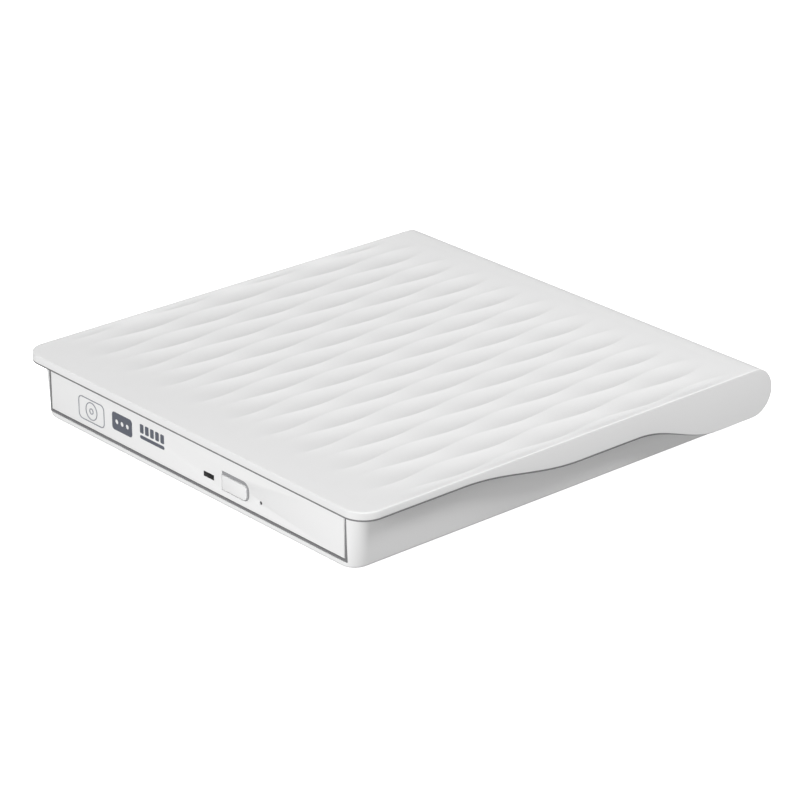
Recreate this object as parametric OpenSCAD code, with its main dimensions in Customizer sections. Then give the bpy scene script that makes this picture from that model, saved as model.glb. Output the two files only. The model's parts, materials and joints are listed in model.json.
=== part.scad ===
// Slim external optical drive: a tray-loading drive inside a two-piece shell with a rolled rear edge.
// Millimetres. +Z is up and the front faces -Y. The origin is at the base, in the middle of the plan.
// Inside the modules, y runs back from the bezel's face and z up from the underside of the case.

/* [Drive] */
// Width of the drive and its bezel
drive_w = 128; // [126:1:160]
// Height of the drive
drive_h = 12.7; // [12:0.1:16]
// Depth of the drive, bezel included
drive_d = 129.2; // [128:0.2:160]
// Depth of the bezel
bezel_t = 4; // [3.4:0.1:5]
// Thickness of the drive's sheet metal
sheet_t = 0.6; // [0.4:0.05:0.8]

/* [Shell] */
// Gap round the bezel
bezel_gap = 0.9; // [0.5:0.1:1.5]
// Width of the case beside the bezel, at the top
cheek_w = 4.4; // [3.5:0.1:6]
// How much narrower each side of the case is at the bottom
draft = 1.9; // [0.5:0.1:2.5]
// Wall of the case
case_wall = 1.8; // [1.2:0.1:2.4]
// Radius of the case's upright corners
case_r = 4.8; // [3:0.1:6]
// Radius along the case's bottom edge
foot_edge = 1; // [0.4:0.1:1.4]
// Depth of the bay behind the drive
bay_d = 12.3; // [12:0.1:20]
// How far the lid reaches past the case at the sides
lid_side = 4.35; // [3:0.05:6]
// How far the lid reaches over the bezel
lid_lip = 2.4; // [1:0.1:4]
// How far the lid reaches behind the case
lid_tail = 8.34; // [8.3:0.02:10]
// Thickness of the lid's front lip
lip_t = 2.25; // [2.1:0.05:3]
// Wall of the lid
lid_wall = 2; // [1.4:0.1:2.2]
// Radius of the lid's front corners
lid_r = 6.7; // [4:0.1:9]
// Drop of the lid's side edge at its first step
step_drop = 5; // [3:0.1:6]
// Height of the lid's side edge at the rear
tail_z = 4.2; // [3:0.1:5]
// Gap between lid and case
lid_gap = 0.2; // [0.1:0.05:0.4]
// Radius of a rubber foot
foot_r = 5; // [3:0.1:8]
// How far the feet stand out
foot_out = 1.2; // [0.8:0.1:2]

/* [Tray] */
// Travel of the tray
tray_travel = 128; // [100:1:128]
// Radius of the disc that the tray holds
disc_r = 60; // [60:0.5:62]
// How much larger the disc's recess is
disc_gap = 0.5; // [0.3:0.1:1]
// Depth of the recess under the tray's rim
recess_d = 3; // [2:0.1:3.4]
// Thickness of the tray's deck
deck_t = 1.6; // [1.2:0.1:2]
// Radius of the hub's nose, for a disc's 15 mm hole
hub_r = 7.4; // [7.3:0.01:7.45]
// Thickness of a sliding rail's sheet
rail_t = 0.5; // [0.4:0.05:0.6]
// Sliding gap between rail, guide and tray
rail_gap = 0.2; // [0.15:0.01:0.25]

/* [Pickup] */
// Direction in which the pickup moves, from +X
mech_a = 225; // [220:1:230]
// Distance of the lens from the hub's axis at rest
lens_r0 = 23.5; // [23.5:0.1:24]
// Travel of the pickup
sled_travel = 34.5; // [25:0.5:34.5]
// Radius of the main guide rod
rod_r = 1.5; // [1.2:0.05:1.6]
// Radius of the second guide rod
rod2_r = 1.2; // [1:0.05:1.3]
// Radius of the lead screw
screw_r = 1.2; // [1:0.05:1.3]
// Radius of the spindle shaft
shaft_r = 1.5; // [1:0.05:1.6]
// Radial gap of a shaft or rod in its bore
bore_gap = 0.05; // [0.02:0.01:0.08]

/* [Front] */
// Width of the eject button
button_w = 10.3; // [8:0.1:12]
// Height of the eject button
button_h = 4.3; // [4:0.1:5.5]
// Gap round the eject button
button_gap = 0.25; // [0.15:0.05:0.4]
// Gap above the button and to its right
button_relief = 1.25; // [0.6:0.05:1.5]
// Travel of the eject button
button_travel = 0.8; // [0.5:0.1:1]
// Width of the indicator window
window_w = 4.4; // [2:0.1:5]
// Height of the indicator window
window_h = 1.5; // [1:0.1:1.6]
// Radius of the emergency release hole
pinhole_r = 0.55; // [0.4:0.05:0.8]
// Thickness of the printed marks
mark_t = 0.12; // [0.1:0.02:0.2]

/* [Rear socket] */
// Width of the socket's shell
usb_w = 8.94; // [8.9:0.01:9]
// Height of the socket's shell
usb_h = 3.26; // [3.2:0.01:3.3]
// Length of the socket's shell
usb_d = 7.3; // [6:0.1:9]
// Wall of the socket's shell
usb_t = 0.3; // [0.2:0.05:0.35]

/* [Hidden] */
eps = 0.01;
fit = 0.02;
floor_t = case_wall;
pan_z = floor_t + bezel_gap;                    // underside of the drive
drive_top = pan_z + drive_h;
case_top = drive_top + bezel_gap;
lip_z = case_top + lid_gap;                     // underside of the lid's lip
lid_top = lip_z + lip_t;
case_half = drive_w / 2 + bezel_gap + cheek_w;
lid_half = case_half + lid_side;
case_d = drive_d + bay_d;
lid_back = case_d + lid_tail;
shift_y = (lid_lip - lid_back) / 2;             // moves the bezel's face to its place in the plan
nose_r = (lid_top - tail_z) / 2;
nose_y = lid_back - nose_r;
nose_z = tail_z + nose_r;
step_z = lip_z - step_drop;
step1 = [33, 75];                               // run of the side edge's first step
step2 = [lid_back - 52.8, lid_back - 20.8];     // and of its second
rim_t = 2.6;
port_y = lid_back - 1.5;                        // mouth of the socket
board_z = nose_z - usb_h / 2 - 1;
board_t = 1;
screw_y = case_d - 6;
lid_screw_x = 58;

floor_z = pan_z + sheet_t;                      // inside of the drive's pan
side_l = drive_w / 2 - 1.6;                     // inside of the pan's left wall
side_r = side_l - 5;                            // and of its right wall, under the step
shelf_z = pan_z + 6;
pan_y = bezel_t + 1;
guide_y = [bezel_t + 2, drive_d - 5.2];
guide_back = 0.8;
guide_in = 3.1;
rail_z = pan_z + 4.18;                          // middle of the rails
rib_h = 1.4;
rib_w = 1.6;
tray_edge = guide_in + 0.2;
tray_back = drive_d - 2.2;
deck_z = pan_z + 6.88;                          // floor of the disc's recess
tray_top = deck_z + recess_d;
lens_end = lens_r0 + sled_travel + 6.2;         // outer end of the slot for the lens
slot_half = 8.6;
under_z = deck_z - deck_t;
tray_l = side_l - tray_edge;
tray_r = side_r - tray_edge;
spindle_y = bezel_t + 1.1 + disc_r + disc_gap;
plate_t = 0.5;
plate_z = deck_z - plate_t;

frame_z = floor_z + 1.28;                       // underside of the traverse
frame_t = 0.8;
rod_z = frame_z + 2;
rod_y = 13.2;
rod2_y = -13.6;
screw_line = -17.6;
sled_x = lens_r0 - 9.5;
sled_l = 16.5;
sled_y = [-9.5, 10.8];
sled_z = frame_z - 0.2;
sled_top = plate_z - 0.4;
well = [lens_r0 - 6.4, 12.4, 16];               // the sled's opening for the lens holder
ear = [[-14, 22.4], [-14, -24.6], [38, 22.4], [38, -24.6]];
ear_r = 3.9;
damper_r = 2.6;
damper_z = [frame_z - 0.6, frame_z + frame_t + 0.6];
plate_tab = [[-22.6, 0], [4, 21.6], [4, -24.2], [26, 21.6]];
tab_r = 2.6;

button_x = 13.75;
button_z = pan_z + 2.13;
stem_z = pan_z + 3.88;
stem_r = 0.8;
stem_y = bezel_t + 3.3;
window_x = 8;
window_z = pan_z + 4.18;
pinhole_x = 30.2;
pinhole_z = pan_z + 3.88;
tray_board_x = [5.6, 50];
tray_board_y = [bezel_t + 4.2, bezel_t + 22];
tray_board_z = pan_z + 1.78;
hook_at = [34, bezel_t + 25];
hook_open = 30;
hook_z = pan_z + 1.6;
hook_pin_r = 0.9;
post_at = [hook_at[0] + 10, hook_at[1] + 2];
post_r = 1.2;
drive_board_y = [drive_d - 30.2, drive_d - 1.7];
under_plate_z = [floor_z + 0.32, floor_z + 0.62];
under_plate_x = [-57.8, 36];
under_plate_y = [bezel_t, drive_board_y[0] - 6];

drive_board_x = [-56, 40];
drive_board_z = floor_z + 0.58;
pcb_t = 0.8;
flex_x = [-49, -23];
flex_t = 0.2;
plug_w = 31;
plug_z = drive_board_z + pcb_t;
plug_gap = 0.5;
plug_h = under_z - plug_gap - plug_z;
drive_screw_at = [for (x = [-48, 48], y = [22, drive_d - 36]) [x, y]];
post_at_board = [for (x = [-52, 36], y = [drive_board_y[0] + 3, drive_board_y[1] - 3]) [x, y]];
foot_at = [for (x = [1 - case_half + 13.3, case_half - 14.3], y = [14, case_d - 14]) [x, y]];

// Points along an arc
function arc(c, r, a0, a1, n) = [
    for (i = [0:n]) let (a = a0 + (a1 - a0) * i / n) [c[0] + r * cos(a), c[1] + r * sin(a)]
];

// A smooth step from 0 to 1
function ease(u) = (1 - cos(180 * u)) / 2;

// Height of the lid's side edge at a place along its depth
function edge_z(y) =
    y < step1[0] ? lip_z :
    y < step1[1] ? lip_z - step_drop * ease((y - step1[0]) / (step1[1] - step1[0])) :
    y < step2[0] ? step_z :
    y < step2[1] ? step_z - (step_z - tail_z) * ease((y - step2[0]) / (step2[1] - step2[0])) :
    tail_z;

// Outline with its own radius at the front and rear corners
function plan(half, y0, y1, rf, rr) = concat(
    arc([rf - half, y0 + rf], rf, 180, 270, 8),
    arc([half - rf, y0 + rf], rf, 270, 360, 8),
    rr > 0 ? arc([half - rr, y1 - rr], rr, 0, 90, 8) : [[half, y1]],
    rr > 0 ? arc([rr - half, y1 - rr], rr, 90, 180, 8) : [[-half, y1]]
);

// Rectangle with rounded corners
function slab(w, h, r, n = 6) = concat(
    arc([w / 2 - r, h / 2 - r], r, 0, 90, n),
    arc([r - w / 2, h / 2 - r], r, 90, 180, n),
    arc([r - w / 2, r - h / 2], r, 180, 270, n),
    arc([w / 2 - r, r - h / 2], r, 270, 360, n)
);

// Half width of the case at a height
function half_at(z) = case_half - draft * (case_top - z) / case_top;

// Outline of the traverse, in the pickup's own direction, grown by g
function traverse_points(g) = [
    [-19 - g, -21 - g], [53 + g / 2, -21 - g], [68.2 + g, -11 - g / 2], [68.2 + g, 13.5 + g / 2],
    [63.2 + g / 2, 18.5 + g], [-19 - g, 18.5 + g]
];

module in_case() { translate([0, shift_y, foot_out]) children(); }
module in_mech() { in_case() translate([0, spindle_y, 0]) rotate(mech_a) children(); }
module along_x(x0, x1) { translate([x0, 0, 0]) rotate([90, 0, 90]) linear_extrude(x1 - x0) children(); }
module along_y(y0, y1) { translate([0, y1, 0]) rotate([90, 0, 0]) linear_extrude(y1 - y0) children(); }
module between_z(z0, z1) { translate([0, 0, z0]) linear_extrude(z1 - z0) children(); }
module block(x, y, z) {
    translate([x[0], y[0], z[0]]) cube([x[1] - x[0], y[1] - y[0], z[1] - z[0]]);
}
module rod(r, z0, z1) { translate([0, 0, z0]) cylinder(r = r, h = z1 - z0); }
module rod_x(r, x0, x1) { translate([x0, 0, 0]) rotate([0, 90, 0]) cylinder(r = r, h = x1 - x0); }
module rod_y(r, y0, y1) { translate([0, y1, 0]) rotate([90, 0, 0]) cylinder(r = r, h = y1 - y0); }
module each_at(places) { for (p = places) translate(p) children(); }

// A screw with its head down and a cross recess in the head
module screw_up(head_r, head_h, shank_r, z0, z1) {
    difference() {
        union() {
            rod(head_r, z0, z0 + head_h);
            rod(shank_r, z0 + head_h, z1);
        }
        for (a = [0, 90]) rotate(a) block([-head_r * 0.6, head_r * 0.6], [-0.15, 0.15],
                                          [z0 - 1, z0 + head_h * 0.6]);
    }
}

// A screw with its head up
module screw_down(head_r, head_h, shank_r, z0, z1) {
    translate([0, 0, z0 + z1]) mirror([0, 0, 1]) screw_up(head_r, head_h, shank_r, z0, z1);
}

// The drafted body of the case, grown sideways by g
module case_body(g, z0, z1, y0, y1, edge) {
    r = case_r + g;
    hull() {
        translate([0, 0, z0]) linear_extrude(eps)
            polygon(plan(half_at(z0) + g - edge, y0 + edge, y1 - edge, r - edge, r - edge));
        translate([0, 0, z0 + edge * 0.3]) linear_extrude(eps)
            polygon(plan(half_at(z0) + g - edge * 0.3, y0 + edge * 0.3, y1 - edge * 0.3, r, r));
        translate([0, 0, z0 + edge]) linear_extrude(eps)
            polygon(plan(half_at(z0 + edge) + g, y0, y1, r, r));
        translate([0, 0, z1 - eps]) linear_extrude(eps)
            polygon(plan(half_at(z1) + g, y0, y1, r, r));
    }
}

// ---- Shell ----

module lid_outer() {
    side = concat(
        [[-lid_lip, lip_z], [step1[0], lip_z]],
        [for (i = [1:10]) let (y = step1[0] + (step1[1] - step1[0]) * i / 10) [y, edge_z(y)]],
        [for (i = [0:10]) let (y = step2[0] + (step2[1] - step2[0]) * i / 10) [y, edge_z(y)]],
        arc([nose_y, nose_z], nose_r, -90, 90, 24),
        [[-lid_lip, lid_top]]
    );
    intersection() {
        along_x(-lid_half, lid_half) polygon(side);
        between_z(0, lid_top + 1) polygon(plan(lid_half, -lid_lip, lid_back + 1, lid_r, 0));
    }
}

module lid_hollow() {
    u0 = acos(1 - 2 * (lid_wall * 2 - lip_t) / step_drop) / 180;
    r = nose_r - lid_wall;
    side = concat(
        [for (i = [0:6]) let (y = step1[0] + (step1[1] - step1[0]) * (u0 + (1 - u0) * i / 6))
            [y, edge_z(y) + lid_wall]],
        [for (i = [0:10]) let (y = step2[0] + (step2[1] - step2[0]) * i / 10) [y, edge_z(y) + lid_wall]],
        arc([nose_y, nose_z], r, -90, 90, 16)
    );
    along_x(lid_wall - lid_half, lid_half - lid_wall) polygon(side);
}

module top_cover() {
    boss_r = 2.8;
    color("white") in_case() difference() {
        union() {
            difference() {
                lid_outer();
                lid_hollow();
                case_body(lid_gap, -1, lip_z, -lid_lip - 8, case_d + lid_gap, 0);
            }
            intersection() {
                lid_outer();
                block([-9, 9], [port_y - 3.2, lid_back], [nose_z - 4.8, nose_z + 4.8]);
            }
            for (x = [-lid_screw_x, lid_screw_x]) translate([x, screw_y, 0])
                rod(boss_r, floor_t, lid_top - lid_wall + 0.1);
        }
        along_y(port_y - 4, port_y) translate([0, nose_z])
            polygon(slab(usb_w + 0.2, usb_h + 0.2, 1.6));
        along_y(port_y, lid_back + 1) translate([0, nose_z]) polygon(slab(13.4, 7.2, 2.4));
        for (x = [-lid_screw_x, lid_screw_x]) translate([x, screw_y, 0]) rod(1 + fit, 0, floor_t + 8);
    }
}

module bottom_case() {
    open_half = drive_w / 2 + bezel_gap;
    color("white") in_case() difference() {
        union() {
            difference() {
                case_body(0, 0, case_top, 0, case_d, foot_edge);
                case_body(-case_wall, floor_t, case_top + 1, rim_t, case_d - case_wall, 0);
                block([-open_half, open_half], [-1, rim_t + 8], [floor_t, case_top + 1]);
                block([-26, 26], [case_d - 4, case_d + 1], [board_z - 1.2, case_top + 1]);
            }
            each_at(drive_screw_at) rod(4, floor_t - 0.2, pan_z);
            each_at([[-20.5, screw_y], [20.5, screw_y]]) rod(2.1, floor_t - 0.2, board_z);
        }
        each_at(foot_at) rod(foot_r + 0.1, -1, 0.5);
        each_at(drive_screw_at) { rod(2.2, -1, 0.9); rod(1 + fit, 0, pan_z + 1); }
        each_at([[-lid_screw_x, screw_y], [lid_screw_x, screw_y]]) {
            rod(2.2, -1, 0.9);
            rod(1 + fit, 0, floor_t + 1);
        }
        each_at([[-20.5, screw_y], [20.5, screw_y]]) rod(0.8 + fit, board_z - 4, board_z + 1);
        between_z(-1, 0.25) translate([0, case_d / 2 + 12]) polygon(slab(62, 34, 2));
    }
}

module rubber_feet() {
    color("dimgray") in_case() each_at(foot_at) {
        rod(foot_r, 0.4 - foot_out, 0.5);
        translate([0, 0, -foot_out]) cylinder(r1 = foot_r - 0.4, r2 = foot_r, h = 0.4);
    }
}

module case_screws() {
    color("silver") in_case() each_at([[-lid_screw_x, screw_y], [lid_screw_x, screw_y]])
        screw_up(1.9, 0.8, 1, 0.1, floor_t + 6);
}

module drive_screws() {
    color("silver") in_case() each_at(drive_screw_at) screw_up(1.9, 0.8, 1, 0.1, floor_z + 0.2);
}

module label_plate() {
    color("lightgray") in_case() between_z(0.05, 0.25) translate([0, case_d / 2 + 12])
        polygon(slab(61.6, 33.6, 1.8));
}

module bridge_board() {
    color("darkgreen") in_case() difference() {
        block([-24, 24], [drive_d + 1.3, port_y - 3.6], [board_z, board_z + board_t]);
        each_at([[-20.5, screw_y], [20.5, screw_y]]) rod(0.8 + fit, 0, lid_top);
    }
}

module bridge_chips() {
    z = board_z + board_t;
    color("black") in_case() {
        block([-15, -8], [drive_d + 3, drive_d + 10], [z, z + 0.9]);
        block([9, 13], [drive_d + 3, drive_d + 6], [z, z + 1.1]);
        block([15, 16.6], [drive_d + 4, drive_d + 5], [z, z + 0.6]);
        block([9, 11], [drive_d + 8, drive_d + 9.2], [z, z + 0.7]);
        block([-18, -16.8], [drive_d + 8.4, drive_d + 10.2], [z, z + 0.6]);
    }
}

module board_socket() {
    y = drive_d + 0.7;
    color("black") in_case() difference() {
        block([-plug_w / 2 - 1, plug_w / 2 + 1], [y, y + 5.6], [plug_z + 0.2, board_z]);
        block([-14, 14], [y - 1, y + 2.6], [plug_z + 1.1, plug_z + 2.5]);
    }
}

module board_screws() {
    color("silver") in_case() each_at([[-20.5, screw_y], [20.5, screw_y]])
        screw_down(1.6, 0.8, 0.8, board_z - 3.6, board_z + board_t + 0.8);
}

module usb_shell() {
    color("silver") in_case() translate([0, 0, nose_z]) difference() {
        along_y(port_y - usb_d, port_y) polygon(slab(usb_w, usb_h, usb_h / 2 - fit, 10));
        along_y(port_y - usb_d + 1, port_y + 1)
            polygon(slab(usb_w - 2 * usb_t, usb_h - 2 * usb_t, usb_h / 2 - usb_t - fit, 10));
    }
}

module usb_tongue() {
    color("black") in_case() translate([0, 0, nose_z])
        block([-3.35, 3.35], [port_y - usb_d + 1, port_y - 0.6], [-0.35, 0.35]);
}

// ---- Drive ----

function pan_outline() = [
    [-side_l - sheet_t, drive_top - 0.6], [-side_l - sheet_t, pan_z], [side_r + sheet_t, pan_z],
    [side_r + sheet_t, shelf_z], [side_l + sheet_t, shelf_z], [side_l + sheet_t, drive_top - 0.6]
];

module drive_pan() {
    inner = [
        [side_l, drive_top - 0.6], [side_l, shelf_z + sheet_t], [side_r, shelf_z + sheet_t],
        [side_r, floor_z], [-side_l, floor_z], [-side_l, drive_top - 0.6]
    ];
    color("silver") in_case() difference() {
        union() {
            along_y(pan_y, drive_d - sheet_t) polygon(concat(pan_outline(), inner));
            along_y(drive_d - sheet_t, drive_d) polygon(pan_outline());
            each_at(post_at_board) rod(1.8, floor_z - 0.1, drive_board_z);
        }
        block([-plug_w / 2 - 0.3, plug_w / 2 + 0.3], [drive_d - 1, drive_d + 1],
              [plug_z - 0.3, plug_z + 4.2]);
        each_at(drive_screw_at) rod(1 + fit, 0, floor_z + 1);
    }
}

module drive_cover() {
    skin = 0.5;
    half = side_l + sheet_t + fit;
    color("silver") in_case() {
        between_z(drive_top - skin, drive_top)
            polygon(plan(half + skin, pan_y - 0.4, drive_d + skin + fit, 1, 1));
        for (s = [0, 1]) mirror([s, 0, 0])
            block([half, half + skin], [pan_y + 2, drive_d], [shelf_z + 1.4, drive_top - skin]);
        block([-half, half], [drive_d + fit, drive_d + skin + fit], [shelf_z + 1.4, drive_top - skin]);
    }
}

module rail_guide(wall) {
    z = [rail_z - 2.3, rail_z + 2.3];
    slot = [rail_z - 1.6, rail_z + 1.6];
    color("gray") along_y(guide_y[0], guide_y[1]) polygon([
        [wall - guide_in, z[0]], [wall, z[0]], [wall, z[1]], [wall - guide_in, z[1]],
        [wall - guide_in, slot[1]], [wall - guide_back, slot[1]],
        [wall - guide_back, slot[0]], [wall - guide_in, slot[0]]
    ]);
}

module rail(wall) {
    back = wall - guide_back - rail_gap;
    lip = wall - guide_in;
    z = [rail_z - 1.6 + rail_gap, rail_z + 1.6 - rail_gap];
    color("lightsteelblue") along_y(guide_y[0], guide_y[1]) polygon([
        [lip, z[0]], [back, z[0]], [back, z[1]], [lip, z[1]],
        [lip, z[1] - rail_t], [back - rail_t, z[1] - rail_t],
        [back - rail_t, z[0] + rail_t], [lip, z[0] + rail_t]
    ]);
}

module rail_guide_left() { in_case() mirror([1, 0, 0]) rail_guide(side_l); }
module rail_guide_right() { in_case() rail_guide(side_r); }
module rail_left() { in_case() mirror([1, 0, 0]) rail(side_l); }
module rail_right() { in_case() rail(side_r); }

module drive_board() {
    color("darkgreen") in_case()
        block(drive_board_x, drive_board_y, [drive_board_z, drive_board_z + pcb_t]);
}

module drive_chips() {
    z = drive_board_z + pcb_t;
    y = drive_board_y[0];
    color("black") in_case() {
        block([-14, 0], [y + 5, y + 19], [z, z + 1]);
        block([8, 18], [y + 5, y + 12], [z, z + 1]);
        block([22, 27], [y + 7, y + 11], [z, z + 0.8]);
        block([-44, -34], [y + 10, y + 16], [z, z + 1]);
        for (i = [0:4]) block([8 + 3 * i, 9.6 + 3 * i], [y + 15, y + 15.8], [z, z + 0.6]);
    }
}

module drive_plug() {
    color("black") in_case() {
        block([-plug_w / 2, plug_w / 2], [drive_d - 6.5, drive_d], [plug_z, plug_z + plug_h]);
        block([-13.6, 13.6], [drive_d, drive_d + 2.9], [plug_z + 1.3, plug_z + 2.3]);
    }
}

module flex_socket() {
    y = drive_board_y[0];
    color("ivory") in_case()
        block([flex_x[0] - 1, flex_x[1] + 1], [y + 0.6, y + 4.2], [plug_z, plug_z + 1]);
}

module latch_post() {
    color("silver") in_case() translate(post_at) {
        rod(post_r, floor_z, under_z - 2.1);
        rod(post_r + 1, floor_z, floor_z + 0.4);
    }
}

// ---- Tray ----

module plate_shape(g, r) {
    intersection() {
        union() {
            polygon(traverse_points(g));
            for (p = plate_tab) translate(p) circle(tab_r + g - 2.5);
        }
        circle(r);
    }
}

module tray_frame() {
    wall = 1.6;
    color("dimgray") union() {
        difference() {
            in_case() union() {
                block([-tray_l, tray_r], [bezel_t, tray_back], [under_z, tray_top]);
                block([-side_l + 0.4, 1 - tray_l], [bezel_t, tray_back], [rail_z + 2.6, tray_top]);
            }
            in_mech() {
                rod(disc_r + disc_gap, deck_z, tray_top + 1);
                between_z(0, plate_z) polygon(traverse_points(1.2));
                between_z(plate_z, deck_z + 1) plate_shape(2.7, disc_r - 1.6);
                block([lens_r0 + 20, lens_end], [-slot_half, slot_half], [0, tray_top + 1]);
                each_at(plate_tab) rod(0.7 + fit, 0, deck_z);
                each_at(ear) rod(0.8 + fit, 0, under_z + 0.8);
            }
            in_case() translate(hook_at) rod(hook_pin_r + fit, 0, under_z + 1);
        }
        in_case() {
            difference() {
                block([-tray_l, tray_r], [bezel_t, bezel_t + wall], [under_plate_z[1], under_z]);
                translate([button_x + button_w / 2, 0, stem_z]) rod_y(stem_r + 0.2, 0, 9);
                block([window_x - window_w / 2 - 0.1, window_x + window_w / 2 + 0.1], [0, 9],
                      [window_z - window_h / 2 - 0.1, window_z + window_h / 2 + 0.1]);
                translate([pinhole_x, 0, pinhole_z]) rod_y(pinhole_r, 0, 9);
            }
            for (side = [[-tray_l, 1], [tray_r, -1]]) translate([side[0], 0, 0])
                mirror([side[1] < 0 ? 1 : 0, 0, 0]) {
                    block([0, 1], [bezel_t + wall, tray_back - 1.2], [rail_z - 1, under_z]);
                    block([-rib_w, 0.2], guide_y, [rail_z - rib_h / 2, rail_z + rib_h / 2]);
                }
            for (x = [[-tray_l, -plug_w / 2 - plug_gap], [plug_w / 2 + plug_gap, tray_r]])
                block(x, [tray_back - 1.2, tray_back], [under_z - 1.9, under_z]);
            for (p = [[28, 23.6], [47, 23.6]]) translate(p)
                rod(1.4, tray_board_z + pcb_t, under_z);
        }
        in_mech() difference() {
            each_at(ear) rod(2, damper_z[1], under_z);
            each_at(ear) rod(0.8 + fit, 0, under_z + 0.8);
        }
    }
}

// The steel plate under the pickup, with its two edges folded up to the tray
module tray_bottom() {
    t = under_plate_z[1] - under_plate_z[0];
    fold_y = [hook_at[1] + 8, under_plate_y[1]];
    color("silver") difference() {
        in_case() {
            block(under_plate_x, under_plate_y, under_plate_z);
            block([under_plate_x[0], under_plate_x[0] + t], fold_y, [under_plate_z[0], under_z]);
            block([under_plate_x[1] - t, under_plate_x[1]], fold_y, [under_plate_z[0], under_z]);
        }
        in_mech() each_at(ear) rod(2.4, 0, 5);
        in_case() translate(hook_at) rod(2.6, 0, under_z);
    }
}

// Outline of the button, grown by g to the left and down, and by far to the right and up
module button_shape(g, far) {
    w = button_w + g + far;
    h = button_h + g + far;
    r = 1.2 + far;
    translate([button_x - g, button_z - g])
        polygon(concat([[0, h], [0, 0]], arc([w - r, r], r, -90, 0, 6), arc([w - r, h - r], r, 0, 90, 6)));
}

module bezel() {
    front_t = 2.2;
    edge = 1;
    half = drive_w / 2;
    color("white") in_case() difference() {
        block([-half, half], [0, bezel_t], [pan_z, drive_top]);
        block([edge - half, half - edge], [front_t, bezel_t + 1], [pan_z + edge, drive_top - edge]);
        along_y(-1, bezel_t) button_shape(button_gap, button_relief);
        block([window_x - window_w / 2 - fit, window_x + window_w / 2 + fit], [-1, bezel_t],
              [window_z - window_h / 2 - fit, window_z + window_h / 2 + fit]);
        translate([pinhole_x, 0, pinhole_z]) rod_y(pinhole_r, -1, bezel_t);
    }
}

module light_window() {
    color("black") in_case()
        block([window_x - window_w / 2, window_x + window_w / 2], [-0.05, tray_board_y[0] + 1],
              [window_z - window_h / 2, window_z + window_h / 2]);
}

module mark_disc() {
    z = pan_z + 5.5;
    color("gainsboro") in_case() translate([-44.8, 0, z]) difference() {
        along_y(-mark_t, 0) polygon(slab(12, 7, 1.6));
        along_y(-1, 1) difference() {
            polygon(slab(11.5, 6.5, 1.35));
            difference() { circle(2.7); circle(2.45); }
            difference() { circle(0.9); circle(0.65); }
        }
    }
    color("gainsboro") in_case() translate([-44.8, 0, z]) along_y(-mark_t, 0) {
        difference() { circle(2.7); circle(2.45); }
        difference() { circle(0.9); circle(0.65); }
    }
}

module mark_square() {
    color("slategray") in_case() translate([-30.55, 0, pan_z + 6.33]) along_y(-mark_t, 0) difference() {
        polygon(slab(9, 5.3, 0.9));
        for (x = [-2.4, 0, 2.4]) translate([x, 0]) circle(0.7);
    }
}

module mark_bars() {
    color("slategray") in_case() translate([-16.9, 0, pan_z + 7.1]) along_y(-mark_t, 0) {
        for (i = [-2:2]) translate([2.3 * i, 0.9]) polygon(slab(1.5, 2.6, 0.3));
        translate([0, -1.6]) polygon(slab(10.8, 1, 0.45));
    }
}

module deck_plate() {
    color("silver") in_mech() difference() {
        between_z(plate_z, deck_z) plate_shape(2.5, disc_r - 1.8);
        rod(14, 0, tray_top);
        block([13, lens_end], [-slot_half, slot_half], [0, tray_top]);
        each_at(plate_tab) rod(0.7 + fit, 0, tray_top);
    }
}

module deck_screws() {
    color("silver") in_mech() each_at(plate_tab) screw_down(1.3, 0.45, 0.7, under_z + 0.2, deck_z + 0.45);
}

module traverse_frame() {
    z = [frame_z, frame_z + frame_t];
    color("silver") in_mech() difference() {
        union() {
            between_z(z[0], z[1]) polygon(traverse_points(0));
            for (e = ear) hull() {
                translate([e[0], e[1], 0]) rod(ear_r, z[0], z[1]);
                translate([e[0], e[1] * 0.7, 0]) rod(ear_r, z[0], z[1]);
            }
            block([-19, 10], [17.7, 18.5], [z[0], z[1] + 1.8]);
            block([-19, -18.2], [-21, 18.5], [z[0], z[1] + 1.8]);
        }
        block([13.2, 65.6], [-10.2, 15.9], [0, 9]);
        block([-10, 9], [-20.8, -14.2], [0, 9]);
        rod(2.9, 0, 9);
        each_at(ear) rod(damper_r, 0, 9);
        translate([0, rod_y, rod_z]) rod_x(rod_r + fit, 10, 80);
        translate([0, rod2_y, rod_z]) rod_x(rod2_r + fit, 10, 80);
    }
}

module dampers() {
    color("black") in_mech() each_at(ear) difference() {
        union() {
            rod(damper_r, damper_z[0], damper_z[1]);
            rod(ear_r - 0.3, damper_z[0], frame_z);
            rod(ear_r - 0.3, frame_z + frame_t, damper_z[1]);
        }
        rod(0.8 + fit, 0, 9);
    }
}

module damper_screws() {
    color("silver") in_mech() each_at(ear) screw_up(1.8, 0.4, 0.8, damper_z[0] - 0.4, under_z + 0.6);
}

module spindle_stator() {
    z = frame_z + frame_t;
    color("darkkhaki") in_mech() difference() {
        union() {
            rod(13, z, z + 0.5);
            rod(2.8, frame_z - 0.3, z + 3.2);
            rod(4, z + 0.5, z + 1);
            for (a = [0:40:320]) rotate(a) block([2.5, 8], [-0.8, 0.8], [z + 1, z + 2.8]);
            difference() { rod(10.4, z + 1, z + 2.8); rod(8, z, z + 4); }
        }
        rod(shaft_r + bore_gap, frame_z + 0.1, z + 4);
    }
}

module guide_rods() {
    color("silver") in_mech() {
        translate([0, rod_y, rod_z]) rod_x(rod_r, 10.5, 67.4);
        translate([0, rod2_y, rod_z]) rod_x(rod2_r, 10.5, 60);
    }
}

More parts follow.
